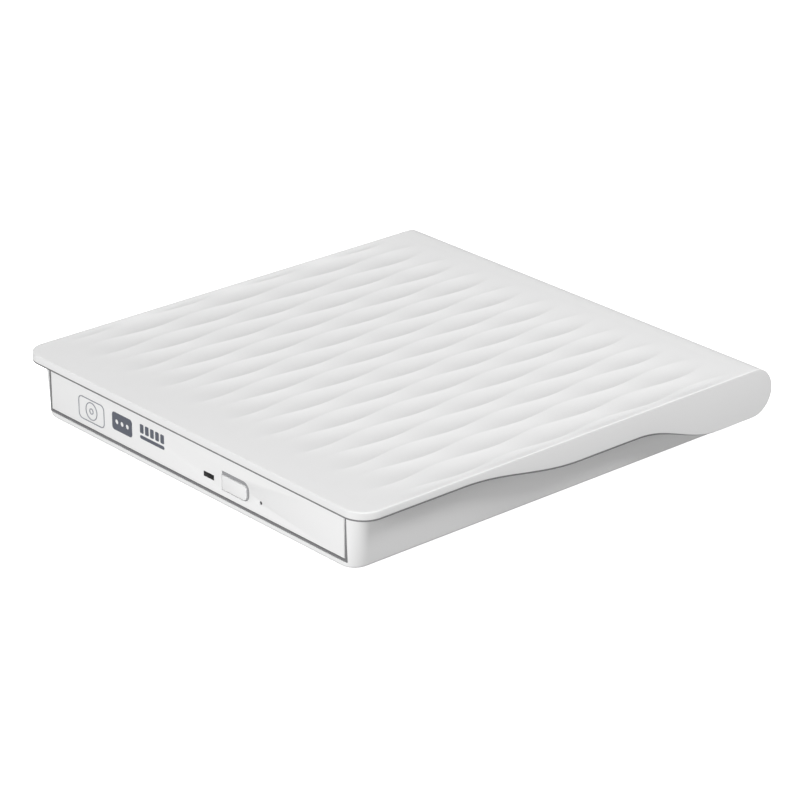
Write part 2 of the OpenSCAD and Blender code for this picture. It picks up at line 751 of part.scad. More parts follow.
module rod_clamps() {
    z = [frame_z + frame_t, rod_z + rod_r + 0.4];
    color("gray") in_mech() difference() {
        union() {
            block([10.5, 13], [rod_y - 2.2, rod_y + 2.2], z);
            block([65.7, 67.8], [rod_y - 2.2, rod_y + 2.2], z);
            block([10.5, 13], [rod2_y - 2, rod2_y + 2], z);
            block([59, 61], [rod2_y - 2, rod2_y + 2], z);
            block([54.5, 56.5], [screw_line - 2.1, screw_line + 1.7], z);
        }
        translate([0, rod_y, rod_z]) rod_x(rod_r + fit, 0, 80);
        translate([0, rod2_y, rod_z]) rod_x(rod2_r + fit, 0, 80);
        translate([0, screw_line, rod_z]) rod_x(screw_r + bore_gap, 0, 80);
    }
}

module feed_motor() {
    color("silver") in_mech() difference() {
        intersection() {
            translate([0, screw_line, rod_z]) rod_x(3.1, -9, 7);
            block([-10, 8], [-30, 0], [frame_z - 0.3, plate_z - 0.3]);
        }
        translate([0, screw_line, rod_z]) rod_x(screw_r + bore_gap, 4, 9);
    }
}

module tray_board() {
    color("darkgreen") in_case() block(tray_board_x, tray_board_y, [tray_board_z, tray_board_z + pcb_t]);
}

module eject_switch() {
    z = tray_board_z + pcb_t;
    x = button_x + button_w / 2;
    y = stem_y + button_travel + 0.1;
    color("black") in_case() {
        block([x - 2, x + 2], [y + 0.7, y + 3.4], [z, z + 2.2]);
        block([x - 0.8, x + 0.8], [y, y + 0.7], [stem_z - 0.6, stem_z + 0.6]);
    }
}

module lamp() {
    z = tray_board_z + pcb_t;
    color("palegreen") in_case()
        block([window_x - 0.9, window_x + 0.9], [tray_board_y[0] + 1.1, tray_board_y[0] + 2.5], [z, z + 1.9]);
}

module solenoid() {
    z = tray_board_z + pcb_t;
    color("brown") in_case() {
        block([26, 27], [13, 20], [z, z + 2.4]);
        block([36, 37], [13, 20], [z, z + 2.4]);
        block([27, 36], [13.6, 19.4], [z, z + 2.1]);
    }
}

module tray_socket() {
    color("ivory") in_case()
        block([flex_x[0] - 1, flex_x[1] + 1], [drive_board_y[0] - 9, drive_board_y[0] - 5.4],
              [under_z - 1, under_z]);
}

// A flat cable: out of the drive's socket, round a loose bend, and back into the tray's socket
module flex_cable() {
    y = drive_board_y[0];
    z0 = plug_z + 0.5;
    z1 = under_z - 0.5;
    r = (z1 - z0) / 2;
    yc = y - 13;
    path = concat([[y + 0.6, z0], [y - 1, z0]], arc([yc, z0 + r], r, -90, -270, 12), [[y - 9, z1]]);
    back = concat([[y - 9, z1 - flex_t]], arc([yc, z0 + r], r - flex_t, -270, -90, 12),
                  [[y - 1, z0 + flex_t], [y + 0.6, z0 + flex_t]]);
    color("white") in_case() along_x(flex_x[0], flex_x[1]) polygon(concat(path, back));
}

module hook_pin() {
    color("silver") in_case() translate(hook_at) {
        rod(hook_pin_r, hook_z - 0.1, under_z + 0.9);
        rod(hook_pin_r + 0.7, hook_z - 0.6, hook_z - 0.1);
    }
}

// ---- Spindle ----

module rotor() {
    z = frame_z + frame_t;
    top = [z + 3.5, deck_z + 0.1];
    color("silver") in_mech() {
        difference() {
            rod(12.2, z + 0.9, top[1]);
            rod(11.3, z, top[0]);
        }
        rod(shaft_r, frame_z + 0.2, top[0] + 0.1);
    }
}

module turntable() {
    z = deck_z + 0.1;
    color("black") in_mech() difference() {
        union() {
            rod(12.8, z, z + 0.8);
            rod(hub_r, z + 0.8, z + 3.1);
            translate([0, 0, z + 3.1]) cylinder(r1 = hub_r, r2 = hub_r - 0.9, h = 0.6);
        }
        rod(4.6, z + 3.3, z + 4);
        for (a = [0:120:240]) rotate(a) translate([hub_r - 0.8, 0, z + 2.1]) sphere(r = 1.04);
    }
}

module hub_ring() {
    z = deck_z + 0.9;
    color("dimgray") in_mech() difference() { rod(12.5, z, z + 0.2); rod(9.4, z - 1, z + 1); }
}

module chuck_balls() {
    z = deck_z + 0.1;
    color("silver") in_mech() for (a = [0:120:240]) rotate(a)
        translate([hub_r - 0.8, 0, z + 2.1]) sphere(r = 1);
}

// ---- Pickup ----

module sled() {
    x = [sled_x, sled_x + sled_l];
    color("slategray") in_mech() difference() {
        union() {
            block(x, sled_y, [sled_z, sled_top]);
            block([x[0] + 1, x[1] - 1], [sled_y[1] - 0.1, rod_y + 2.3], [rod_z - 2.1, rod_z + 2.1]);
            block([x[0] + 6, x[0] + 10], [rod2_y - 2.2, sled_y[0] + 0.1], [frame_z + frame_t + 0.1, rod_z + 1.8]);
        }
        block([well[0], well[0] + well[1]], [-well[2] / 2, well[2] / 2], [sled_z + 0.9, 10]);
        translate([0, rod_y, rod_z]) rod_x(rod_r + bore_gap, 0, 80);
        translate([0, rod2_y, rod_z]) rod_x(rod2_r + bore_gap, 0, 80);
        block([0, 80], [rod2_y - 4, rod2_y], [rod_z - rod2_r - bore_gap, rod_z + rod2_r + bore_gap]);
    }
}

module feed_nut() {
    x = [sled_x + 0.2, sled_x + 4.2];
    color("ivory") in_mech() difference() {
        union() {
            block(x, [screw_line - 1.9, screw_line + 1.7], [frame_z + frame_t + 0.1, sled_top]);
            block(x, [screw_line + 1.6, sled_y[0]], [rod_z + rod2_r + 0.15, sled_top]);
        }
        translate([0, screw_line, rod_z]) rod_x(screw_r + bore_gap, 0, 80);
    }
}

module sled_board() {
    color("darkorange") in_mech()
        block([sled_x + 1, sled_x + sled_l - 1], [sled_y[0] + 1, sled_y[1] - 1], [sled_z - 0.3, sled_z]);
}

module actuator_magnets() {
    z = sled_z + 0.9;
    color("gray") in_mech() for (y = [-6.6, 5.4])
        block([lens_r0 - 4, lens_r0 + 4], [y, y + 1.2], [z, sled_top - 0.3]);
}

module lens_holder() {
    color("black") in_mech() difference() {
        block([lens_r0 - 5, lens_r0 + 5], [-4.6, 4.6], [sled_z + 1.8, deck_z - 0.6]);
        translate([lens_r0, 0, 0]) rod(2.5 + fit, deck_z - 1.2, deck_z);
        translate([lens_r0, 0, 0]) rod(1.8, 0, deck_z);
    }
}

module lens() {
    color("lightblue") in_mech() translate([lens_r0, 0, deck_z - 1.2]) {
        cylinder(r = 2.5, h = 0.7);
        translate([0, 0, 0.7]) intersection() {
            translate([0, 0, -4.6]) sphere(r = 5.1);
            cylinder(r = 2.2, h = 1);
        }
    }
}

module lead_screw() {
    pitch = 1.5;
    root = screw_r - 0.25;
    turns = floor((54 - 13) / pitch);
    thread = [for (i = [0:turns - 1]) for (p = [[0, root], [0.5, screw_r], [0.8, screw_r], [1.3, root]])
        [p[1], 13 + i * pitch + p[0]]];
    color("goldenrod") in_mech() translate([0, screw_line, rod_z]) rotate([0, 90, 0]) rotate_extrude()
        polygon(concat([[0, 4.2], [screw_r, 4.2], [screw_r, 12.5], [root, 12.8]], thread,
                       [[root, 54.2], [screw_r, 54.4], [screw_r, 57.5], [0, 57.5]]));
}

// ---- Controls ----

module eject_button() {
    lip = 0.5;
    color("white") in_case() {
        along_y(-0.1, 2.3) button_shape(0, 0);
        along_y(2.3, 2.9) button_shape(lip, button_relief + lip);
        translate([button_x + button_w / 2, 0, stem_z]) rod_y(stem_r, 2.8, stem_y);
    }
}

module latch_hook() {
    color("silver") in_case() translate([hook_at[0], hook_at[1], hook_z]) rotate(hook_open)
        linear_extrude(0.8) difference() {
            union() {
                circle(2);
                polygon([[1, -1.6], [8.8, 3.3], [11.4, 3.3], [11.4, 4.9], [7.6, 4.9], [-1, 1.6]]);
                translate([-1, -2.8]) square([2, 2]);
            }
            circle(hook_pin_r + bore_gap);
        }
}

top_cover();
bottom_case();
rubber_feet();
case_screws();
drive_screws();
label_plate();
bridge_board();
bridge_chips();
board_socket();
board_screws();
usb_shell();
usb_tongue();
drive_pan();
drive_cover();
rail_guide_left();
rail_guide_right();
drive_board();
drive_chips();
drive_plug();
flex_socket();
latch_post();
rail_left();
rail_right();
tray_frame();
tray_bottom();
bezel();
light_window();
mark_disc();
mark_square();
mark_bars();
deck_plate();
deck_screws();
traverse_frame();
dampers();
damper_screws();
spindle_stator();
guide_rods();
rod_clamps();
feed_motor();
tray_board();
eject_switch();
lamp();
solenoid();
tray_socket();
flex_cable();
hook_pin();
rotor();
turntable();
hub_ring();
chuck_balls();
sled();
feed_nut();
sled_board();
actuator_magnets();
lens_holder();
lens();
lead_screw();
eject_button();
latch_hook();
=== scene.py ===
# Slim external disc drive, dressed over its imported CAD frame
import bpy
import json
import math
from mathutils import Matrix, Vector

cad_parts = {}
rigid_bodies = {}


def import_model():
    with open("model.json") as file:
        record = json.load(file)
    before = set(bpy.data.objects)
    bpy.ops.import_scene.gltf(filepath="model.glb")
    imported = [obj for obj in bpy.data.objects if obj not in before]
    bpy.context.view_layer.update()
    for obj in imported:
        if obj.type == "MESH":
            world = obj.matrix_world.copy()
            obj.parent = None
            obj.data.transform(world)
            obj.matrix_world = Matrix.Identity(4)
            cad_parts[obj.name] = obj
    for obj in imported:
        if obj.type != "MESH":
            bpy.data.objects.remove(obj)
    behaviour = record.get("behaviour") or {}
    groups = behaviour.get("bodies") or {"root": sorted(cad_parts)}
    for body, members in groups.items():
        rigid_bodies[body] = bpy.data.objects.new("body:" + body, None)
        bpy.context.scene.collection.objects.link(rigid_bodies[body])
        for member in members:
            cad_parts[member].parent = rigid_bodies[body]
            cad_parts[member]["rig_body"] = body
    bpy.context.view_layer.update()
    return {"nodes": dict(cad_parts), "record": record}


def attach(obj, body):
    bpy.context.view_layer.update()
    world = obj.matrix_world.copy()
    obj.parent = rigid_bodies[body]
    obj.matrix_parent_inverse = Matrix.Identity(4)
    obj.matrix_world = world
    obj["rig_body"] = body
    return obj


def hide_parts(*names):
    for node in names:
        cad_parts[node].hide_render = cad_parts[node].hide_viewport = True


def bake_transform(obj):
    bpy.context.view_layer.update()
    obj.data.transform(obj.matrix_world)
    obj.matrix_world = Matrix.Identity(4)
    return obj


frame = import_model()
mm = 0.001
drawingShift = Vector((0.0, -73.72, 1.2))  # the drawing starts at the bezel's face and the case's underside


def place(x, y, z):
    return (Vector((x, y, z)) + drawingShift) * mm


def drawn(point):
    return Vector(point) / mm - drawingShift


# Small helpers round the operators
def clearBench():
    if bpy.context.object and bpy.context.object.mode != "OBJECT":
        bpy.ops.object.mode_set(mode="OBJECT")
    bpy.ops.object.select_all(action="DESELECT")


def hold(*pieces):
    clearBench()
    for piece in pieces:
        piece.select_set(True)
    bpy.context.view_layer.objects.active = pieces[0]


def settle(name):
    piece = bpy.context.object
    piece.name = piece.data.name = name
    bpy.ops.object.transform_apply(location=True, rotation=True, scale=True)
    return piece


def addBlock(name, x, y, z):
    low, high = place(x[0], y[0], z[0]), place(x[1], y[1], z[1])
    clearBench()
    bpy.ops.mesh.primitive_cube_add(size=1, location=(low + high) / 2)
    bpy.context.object.scale = high - low
    return settle(name)


def addRod(name, radius, start, end, sides=48):
    low, high = place(*start), place(*end)
    turn = (high - low).to_track_quat("Z", "Y").to_euler()
    clearBench()
    bpy.ops.mesh.primitive_cylinder_add(vertices=sides, radius=radius * mm, depth=(high - low).length,
                                        location=(low + high) / 2, rotation=turn)
    return settle(name)


def addPrism(name, outline, plane, start, end):
    # an outline in mm on one plane, pulled along the third axis
    clearBench()
    bpy.ops.mesh.primitive_circle_add(vertices=len(outline), radius=1, fill_type="NGON")
    piece = settle(name)
    across = {
        "xy": lambda a, b, c: (a, b, c),
        "xz": lambda a, b, c: (a, c, b),
        "yz": lambda a, b, c: (c, a, b),
    }[plane]
    for corner, (a, b) in zip(piece.data.vertices, outline):
        corner.co = place(*across(a, b, start))
    pull = (place(*across(0, 0, end)) - place(*across(0, 0, start)))
    bpy.ops.object.mode_set(mode="EDIT")
    bpy.ops.mesh.select_all(action="SELECT")
    bpy.ops.mesh.extrude_region_move(TRANSFORM_OT_translate={"value": pull})
    bpy.ops.mesh.select_all(action="SELECT")
    bpy.ops.mesh.normals_make_consistent(inside=False)
    bpy.ops.object.mode_set(mode="OBJECT")
    return piece


def pickFaces(piece, test):
    hold(piece)
    bpy.ops.object.mode_set(mode="EDIT")
    bpy.ops.mesh.select_mode(type="FACE")
    bpy.ops.mesh.select_all(action="DESELECT")
    bpy.ops.object.mode_set(mode="OBJECT")
    for face in piece.data.polygons:
        face.select = test(drawn(face.center), face.normal)
    bpy.ops.object.mode_set(mode="EDIT")


def pickEdges(piece, test):
    hold(piece)
    bpy.ops.object.mode_set(mode="EDIT")
    bpy.ops.mesh.select_mode(type="EDGE")
    bpy.ops.mesh.select_all(action="DESELECT")
    bpy.ops.object.mode_set(mode="OBJECT")
    corners = piece.data.vertices
    for edge in piece.data.edges:
        edge.select = test(drawn(corners[edge.vertices[0]].co), drawn(corners[edge.vertices[1]].co))
    bpy.ops.object.mode_set(mode="EDIT")


def roundPicked(width, steps):
    bpy.ops.mesh.bevel(offset=width * mm, segments=steps, profile=0.5, affect="EDGES")
    bpy.ops.object.mode_set(mode="OBJECT")


def shape(piece, kind, **values):
    hold(piece)
    step = piece.modifiers.new(kind.lower(), kind)
    for key, value in values.items():
        setattr(step, key, value)
    bpy.ops.object.modifier_apply(modifier=step.name)


def cut(piece, *tools, operation="DIFFERENCE"):
    for tool in tools:
        shape(piece, "BOOLEAN", operation=operation, solver="EXACT", object=tool)
        bpy.data.objects.remove(tool, do_unlink=True)
    return piece


def join(piece, *others):
    hold(piece, *others)
    bpy.ops.object.join()
    return piece


def soften(piece, width, steps=2, angle=35):
    shape(piece, "BEVEL", width=width * mm, segments=steps, limit_method="ANGLE", angle_limit=math.radians(angle),
          use_clamp_overlap=True, harden_normals=False)
    return piece


def tidyMesh(piece, apart=0.002):
    hold(piece)
    bpy.ops.object.mode_set(mode="EDIT")
    bpy.ops.mesh.select_all(action="SELECT")
    bpy.ops.mesh.remove_doubles(threshold=apart * mm)
    bpy.ops.mesh.normals_make_consistent(inside=False)
    bpy.ops.object.mode_set(mode="OBJECT")
    return piece


def fit(piece, body, slot, finish, *nodes, angle=30, keepSharp=False):
    hold(piece)
    if not keepSharp:
        bpy.ops.object.shade_smooth_by_angle(angle=math.radians(angle))
    piece.data.materials.clear()
    piece.data.materials.append(finish)
    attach(piece, body)
    if nodes:
        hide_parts(*nodes)
    return piece


def arcPoints(centre, radius, startAngle, endAngle, steps):
    return [(centre[0] + radius * math.cos(math.radians(startAngle + (endAngle - startAngle) * i / steps)),
             centre[1] + radius * math.sin(math.radians(startAngle + (endAngle - startAngle) * i / steps)))
            for i in range(steps + 1)]


def roundSlab(width, height, radius, steps=8, centre=(0, 0)):
    points = []
    for sx, sy, turn in ((1, 1, 0), (-1, 1, 90), (-1, -1, 180), (1, -1, 270)):
        middle = (centre[0] + sx * (width / 2 - radius), centre[1] + sy * (height / 2 - radius))
        points += arcPoints(middle, radius, turn, turn + 90, steps)
    return points


def easeStep(u):
    u = min(1.0, max(0.0, u))
    return (1 - math.cos(math.pi * u)) / 2


# Finishes: shared patterns first, then one material for each finish
def addSockets(group, inputs, outputs):
    for label, kind, value in inputs:
        made = group.interface.new_socket(name=label, in_out="INPUT", socket_type=kind)
        if value is not None:
            made.default_value = value
    for label, kind in outputs:
        group.interface.new_socket(name=label, in_out="OUTPUT", socket_type=kind)
    return group.nodes.new("NodeGroupInput"), group.nodes.new("NodeGroupOutput")


def makeGrainGroup():
    # fine spark-eroded grain and slow blotches, for moulded skins
    group = bpy.data.node_groups.new("mouldGrain", "ShaderNodeTree")
    source, result = addSockets(
        group,
        [("Grain Scale", "NodeSocketFloat", 4000.0), ("Blotch Scale", "NodeSocketFloat", 30.0)],
        [("Height", "NodeSocketFloat"), ("Mask", "NodeSocketFloat")])
    spot = group.nodes.new("ShaderNodeTexCoord")
    grain = group.nodes.new("ShaderNodeTexNoise")
    grain.inputs["Detail"].default_value = 3.0
    grain.inputs["Roughness"].default_value = 0.6
    blotch = group.nodes.new("ShaderNodeTexNoise")
    blotch.inputs["Detail"].default_value = 4.0
    for noise, label in ((grain, "Grain Scale"), (blotch, "Blotch Scale")):
        group.links.new(spot.outputs["Object"], noise.inputs["Vector"])
        group.links.new(source.outputs[label], noise.inputs["Scale"])
    group.links.new(grain.outputs["Fac"], result.inputs["Height"])
    group.links.new(blotch.outputs["Fac"], result.inputs["Mask"])
    return group


def makeDrawnGroup():
    # long fine lines, for rolled, brushed or turned metal
    group = bpy.data.node_groups.new("drawnLines", "ShaderNodeTree")
    source, result = addSockets(group, [("Stretch", "NodeSocketVector", (400.0, 12000.0, 12000.0))],
                                [("Height", "NodeSocketFloat"), ("Mask", "NodeSocketFloat")])
    spot = group.nodes.new("ShaderNodeTexCoord")
    spread = group.nodes.new("ShaderNodeVectorMath")
    spread.operation = "MULTIPLY"
    lines = group.nodes.new("ShaderNodeTexNoise")
    lines.inputs["Scale"].default_value = 1.0
    lines.inputs["Detail"].default_value = 2.0
    smear = group.nodes.new("ShaderNodeTexNoise")
    smear.inputs["Scale"].default_value = 60.0
    smear.inputs["Detail"].default_value = 5.0
    group.links.new(spot.outputs["Object"], spread.inputs[0])
    group.links.new(source.outputs["Stretch"], spread.inputs[1])
    group.links.new(spread.outputs["Vector"], lines.inputs["Vector"])
    group.links.new(spot.outputs["Object"], smear.inputs["Vector"])
    group.links.new(lines.outputs["Fac"], result.inputs["Height"])
    group.links.new(smear.outputs["Fac"], result.inputs["Mask"])
    return group


def makeTrackGroup():
    # copper tracks and vias under a solder mask
    group = bpy.data.node_groups.new("boardTracks", "ShaderNodeTree")
    source, result = addSockets(group, [("Track Scale", "NodeSocketFloat", 500.0)],
                                [("Tracks", "NodeSocketFloat"), ("Vias", "NodeSocketFloat")])
    spot = group.nodes.new("ShaderNodeTexCoord")
    cells = group.nodes.new("ShaderNodeTexVoronoi")
    cells.distance = "MANHATTAN"
    cells.feature = "DISTANCE_TO_EDGE"
    edge = group.nodes.new("ShaderNodeMath")
    edge.operation = "LESS_THAN"
    edge.inputs[1].default_value = 0.06
    dots = group.nodes.new("ShaderNodeTexVoronoi")
    hole = group.nodes.new("ShaderNodeMath")
    hole.operation = "LESS_THAN"
    hole.inputs[1].default_value = 0.14
    for node in (cells, dots):
        group.links.new(spot.outputs["Object"], node.inputs["Vector"])
        group.links.new(source.outputs["Track Scale"], node.inputs["Scale"])
    group.links.new(cells.outputs["Distance"], edge.inputs[0])
    group.links.new(dots.outputs["Distance"], hole.inputs[0])
    group.links.new(edge.outputs["Value"], result.inputs["Tracks"])
    group.links.new(hole.outputs["Value"], result.inputs["Vias"])
    return group


patterns = {"grain": makeGrainGroup(), "drawn": makeDrawnGroup(), "tracks": makeTrackGroup()}


def makeFinish(name, light, dark, rough, metal=0.0, pattern="grain", bump=0.05, bumpDepth=0.00002, coat=0.0,
               glass=0.0, ior=1.5, specular=0.5, **settings):
    finish = bpy.data.materials.new(name)
    finish.use_nodes = True
    nodes, links = finish.node_tree.nodes, finish.node_tree.links
    shader = nodes["Principled BSDF"]
    texture = nodes.new("ShaderNodeGroup")
    texture.node_tree = patterns[pattern]
    for label, value in settings.items():
        texture.inputs[label.replace("_", " ")].default_value = value
    mask = texture.outputs["Tracks" if pattern == "tracks" else "Mask"]
    height = texture.outputs["Tracks" if pattern == "tracks" else "Height"]
    tint = nodes.new("ShaderNodeMix")
    tint.data_type = "RGBA"
    tint.inputs["A"].default_value = (*dark, 1)
    tint.inputs["B"].default_value = (*light, 1)
    links.new(mask, tint.inputs["Factor"])
    links.new(tint.outputs["Result"], shader.inputs["Base Color"])
    wear = nodes.new("ShaderNodeMapRange")
    wear.inputs["To Min"].default_value, wear.inputs["To Max"].default_value = rough
    links.new(mask, wear.inputs["Value"])
    links.new(wear.outputs["Result"], shader.inputs["Roughness"])
    relief = nodes.new("ShaderNodeBump")
    relief.inputs["Strength"].default_value = bump
    relief.inputs["Distance"].default_value = bumpDepth
    links.new(height, relief.inputs["Height"])
    links.new(relief.outputs["Normal"], shader.inputs["Normal"])
    shader.inputs["Metallic"].default_value = metal
    shader.inputs["Coat Weight"].default_value = coat
    shader.inputs["Transmission Weight"].default_value = glass
    shader.inputs["IOR"].default_value = ior
    shader.inputs["Specular IOR Level"].default_value = specular
    return finish


finishes = {
    "shell_white": makeFinish("satinWhiteShell", (0.75, 0.75, 0.75), (0.738, 0.738, 0.738), (0.6, 0.68), bump=0.12,
                              specular=0.25, Grain_Scale=6000.0, Blotch_Scale=25.0),
    "bezel_white": makeFinish("glossWhiteBezel", (0.80, 0.80, 0.80), (0.785, 0.785, 0.785), (0.28, 0.36), bump=0.06,
                              Grain_Scale=7000.0, Blotch_Scale=40.0),
    "foot_rubber": makeFinish("greyFootRubber", (0.20, 0.20, 0.205), (0.15, 0.15, 0.155), (0.7, 0.85), bump=0.35,
                              Grain_Scale=3500.0),
    "screw_steel": makeFinish("nickelledScrew", (0.62, 0.62, 0.60), (0.5, 0.5, 0.49), (0.22, 0.38), metal=1.0,
                              pattern="drawn", bump=0.1, Stretch=(6000.0, 6000.0, 1500.0)),
    "label_film": makeFinish("silverLabelFilm", (0.66, 0.66, 0.67), (0.6, 0.6, 0.61), (0.4, 0.5), metal=0.2,
                             pattern="drawn", bump=0.05, Stretch=(300.0, 9000.0, 9000.0)),
    "board_green": makeFinish("greenSolderMask", (0.03, 0.17, 0.07), (0.015, 0.09, 0.04), (0.3, 0.42),
                              pattern="tracks", bump=0.4, Track_Scale=420.0),
    "chip_black": makeFinish("chipEpoxy", (0.035, 0.035, 0.037), (0.022, 0.022, 0.024), (0.5, 0.62), bump=0.2,
                             Grain_Scale=9000.0),
    "connector_black": makeFinish("connectorBlack", (0.03, 0.03, 0.032), (0.018, 0.018, 0.02), (0.4, 0.5), bump=0.1),
    "connector_ivory": makeFinish("connectorIvory", (0.72, 0.68, 0.56), (0.66, 0.62, 0.5), (0.4, 0.52), bump=0.1),
    "socket_steel": makeFinish("socketSteel", (0.68, 0.68, 0.68), (0.56, 0.56, 0.56), (0.18, 0.3), metal=1.0,
                               pattern="drawn", bump=0.08, Stretch=(900.0, 900.0, 9000.0)),
    "sheet_steel": makeFinish("zincedSheet", (0.63, 0.64, 0.65), (0.5, 0.51, 0.52), (0.3, 0.46), metal=1.0,
                              pattern="drawn", bump=0.1, Stretch=(500.0, 7000.0, 7000.0)),
    "rail_steel": makeFinish("rolledRail", (0.6, 0.6, 0.61), (0.47, 0.47, 0.48), (0.24, 0.36), metal=1.0,
                             pattern="drawn", bump=0.12, Stretch=(9000.0, 300.0, 9000.0)),
    "guide_grey": makeFinish("guideAcetal", (0.30, 0.30, 0.31), (0.26, 0.26, 0.27), (0.35, 0.45), bump=0.08),
    "tray_black": makeFinish("trayBlack", (0.042, 0.042, 0.044), (0.03, 0.03, 0.032), (0.42, 0.56), bump=0.3,
                             Grain_Scale=4500.0, Blotch_Scale=60.0),
    "window_dark": makeFinish("smokedWindow", (0.008, 0.008, 0.009), (0.004, 0.004, 0.005), (0.08, 0.14), bump=0.02),
    "mark_light": makeFinish("printedLightGrey", (0.26, 0.27, 0.30), (0.21, 0.22, 0.25), (0.5, 0.6), bump=0.1),
    "mark_slate": makeFinish("printedSlate", (0.115, 0.125, 0.155), (0.09, 0.10, 0.125), (0.5, 0.6), bump=0.1),
    "deck_metal": makeFinish("deckSheet", (0.55, 0.56, 0.57), (0.42, 0.43, 0.44), (0.28, 0.42), metal=1.0,
                             pattern="drawn", bump=0.12, Stretch=(5000.0, 5000.0, 5000.0)),
    "frame_metal": makeFinish("pressedTraverse", (0.5, 0.5, 0.51), (0.4, 0.4, 0.41), (0.3, 0.45), metal=1.0,
                              pattern="drawn", bump=0.12, Stretch=(700.0, 6000.0, 6000.0)),
    "damper_rubber": makeFinish("damperRubber", (0.05, 0.05, 0.052), (0.03, 0.03, 0.032), (0.65, 0.8), bump=0.3),
    "winding": makeFinish("copperWinding", (0.72, 0.34, 0.16), (0.5, 0.22, 0.1), (0.25, 0.4), metal=1.0,
                          pattern="drawn", bump=0.4, Stretch=(9000.0, 9000.0, 1500.0)),
    "rod_steel": makeFinish("groundRod", (0.66, 0.66, 0.67), (0.58, 0.58, 0.59), (0.1, 0.18), metal=1.0,
                            pattern="drawn", bump=0.05, Stretch=(6000.0, 6000.0, 6000.0)),
    "rotor_steel": makeFinish("spunRotor", (0.58, 0.58, 0.59), (0.46, 0.46, 0.47), (0.2, 0.32), metal=1.0,
                              pattern="drawn", bump=0.1, Stretch=(600.0, 600.0, 9000.0)),
    "hub_black": makeFinish("hubBlack", (0.03, 0.03, 0.031), (0.02, 0.02, 0.021), (0.3, 0.42), bump=0.12),
    "ring_rubber": makeFinish("gripRing", (0.07, 0.07, 0.072), (0.05, 0.05, 0.052), (0.75, 0.9), bump=0.35,
                              Grain_Scale=5000.0),
    "sled_metal": makeFinish("castSled", (0.34, 0.35, 0.37), (0.26, 0.27, 0.29), (0.4, 0.58), metal=0.9, bump=0.4,
                             Grain_Scale=3000.0),
    "flex_amber": makeFinish("amberFlex", (0.52, 0.24, 0.05), (0.4, 0.17, 0.035), (0.22, 0.32), bump=0.08, coat=0.3),
    "flex_white": makeFinish("whiteFlex", (0.75, 0.76, 0.78), (0.62, 0.64, 0.68), (0.35, 0.45), pattern="drawn",
                             bump=0.4, Stretch=(1400.0, 4.0, 4.0)),
    "magnet": makeFinish("nickelMagnet", (0.55, 0.54, 0.52), (0.48, 0.47, 0.45), (0.15, 0.25), metal=1.0,
                         pattern="drawn", bump=0.04, Stretch=(3000.0, 3000.0, 3000.0)),
    "holder_black": makeFinish("lensHolderBlack", (0.02, 0.02, 0.021), (0.014, 0.014, 0.015), (0.5, 0.62), bump=0.1),
    "lens_glass": makeFinish("coatedLens", (0.45, 0.6, 0.85), (0.38, 0.5, 0.8), (0.02, 0.04), bump=0.0, glass=0.85,
                             coat=0.6),
    "lamp_green": makeFinish("lampLens", (0.5, 0.8, 0.45), (0.4, 0.7, 0.35), (0.2, 0.3), bump=0.02, glass=0.3),
    "screw_brass": makeFinish("leadBrass", (0.7, 0.52, 0.22), (0.58, 0.42, 0.16), (0.16, 0.28), metal=1.0,
                              pattern="drawn", bump=0.1, Stretch=(3000.0, 3000.0, 3000.0)),
}
print("stage: finishes made")


slotOf = {part["node"]: part["material_slot"] for part in frame["record"]["subparts"]}
for nodeName, cadPiece in frame["nodes"].items():
    cadPiece.data.materials.clear()
    cadPiece.data.materials.append(finishes[slotOf[nodeName]])


def dressCopy(node, name, width=0.1, steps=2, angle=30, flat=4):
    # a copy of a frame part with joined facets and softened edges, in the same body
    source = frame["nodes"][node]
    piece = bpy.data.objects.new(name, source.data.copy())
    bpy.context.scene.collection.objects.link(piece)
    hold(piece)
    bpy.ops.object.mode_set(mode="EDIT")
    bpy.ops.mesh.select_all(action="SELECT")
    bpy.ops.mesh.remove_doubles(threshold=0.002 * mm)
    bpy.ops.mesh.dissolve_limited(angle_limit=math.radians(flat * 0.1))
    bpy.ops.object.mode_set(mode="OBJECT")
    if width:
        soften(piece, width, steps, angle)
    fit(piece, source["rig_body"], slotOf[node], finishes[slotOf[node]], node, angle=angle)
    return piece


# Lid: wave relief on top, rolled rear edge, stepped sides
lid = {
    # mm: outline, then the side edge's two steps as start, end and new height
    "half": 73.65, "front": -2.4, "back": 149.84, "top": 18.75, "lip": 16.5, "corner": 6.7, "wall": 2.0,
    "nose": 7.275, "edge": 0.36, "underEdge": 0.2,
    "stepOne": (33.0, 75.0, 11.5), "stepTwo": (97.04, 129.04, 4.2),
    # the relief: crests that sway in opposite ways, with a hollow strip between each two
    "crests": 20, "firstCrest": -70.4, "pitch": 7.37, "sway": 1.22, "rise": 0.5,
    "swayLength": 34.4, "swayCentre": 70.4, "trough": 21.0,
    "rimFade": 3.4, "fadeIn": (2.0, 31.0), "fadeOut": (139.0, 122.0),
    # columns in a strip, columns at each side, row length, degrees a row round the front corners, rows on the nose
    "strip": 7, "sideColumns": 3, "rowStep": 1.2, "cornerStep": 6, "firstTurn": 28, "noseRows": 20,
    # crests are creased between these two rows, above this height
    "creased": (12.0, 136.0), "creaseHeight": 17.3,
    # rear socket: face, mouth and throat sizes with corner radius; block round it
    "portBack": 148.34, "mouth": (13.4, 7.2, 2.4), "throat": (9.14, 3.46, 1.6), "throatDepth": 4.0,
    "portBlock": (9.0, 3.2, 4.8),
    # lid screw bosses: place, radius, foot, hole radius, hole depth
    "screwX": 58.0, "screwY": 135.5, "boss": (2.8, 1.8), "bossHole": (1.0, 9.8),
    "pastBack": 160.0, "pastTop": 19.0,
}
noseY, noseZ = lid["back"] - lid["nose"], lid["top"] - lid["nose"]
rollSteps = [0.0, 0.008, 0.03, 0.07, 0.13, 0.2, 0.28]  # insets of the rounded rim, in mm


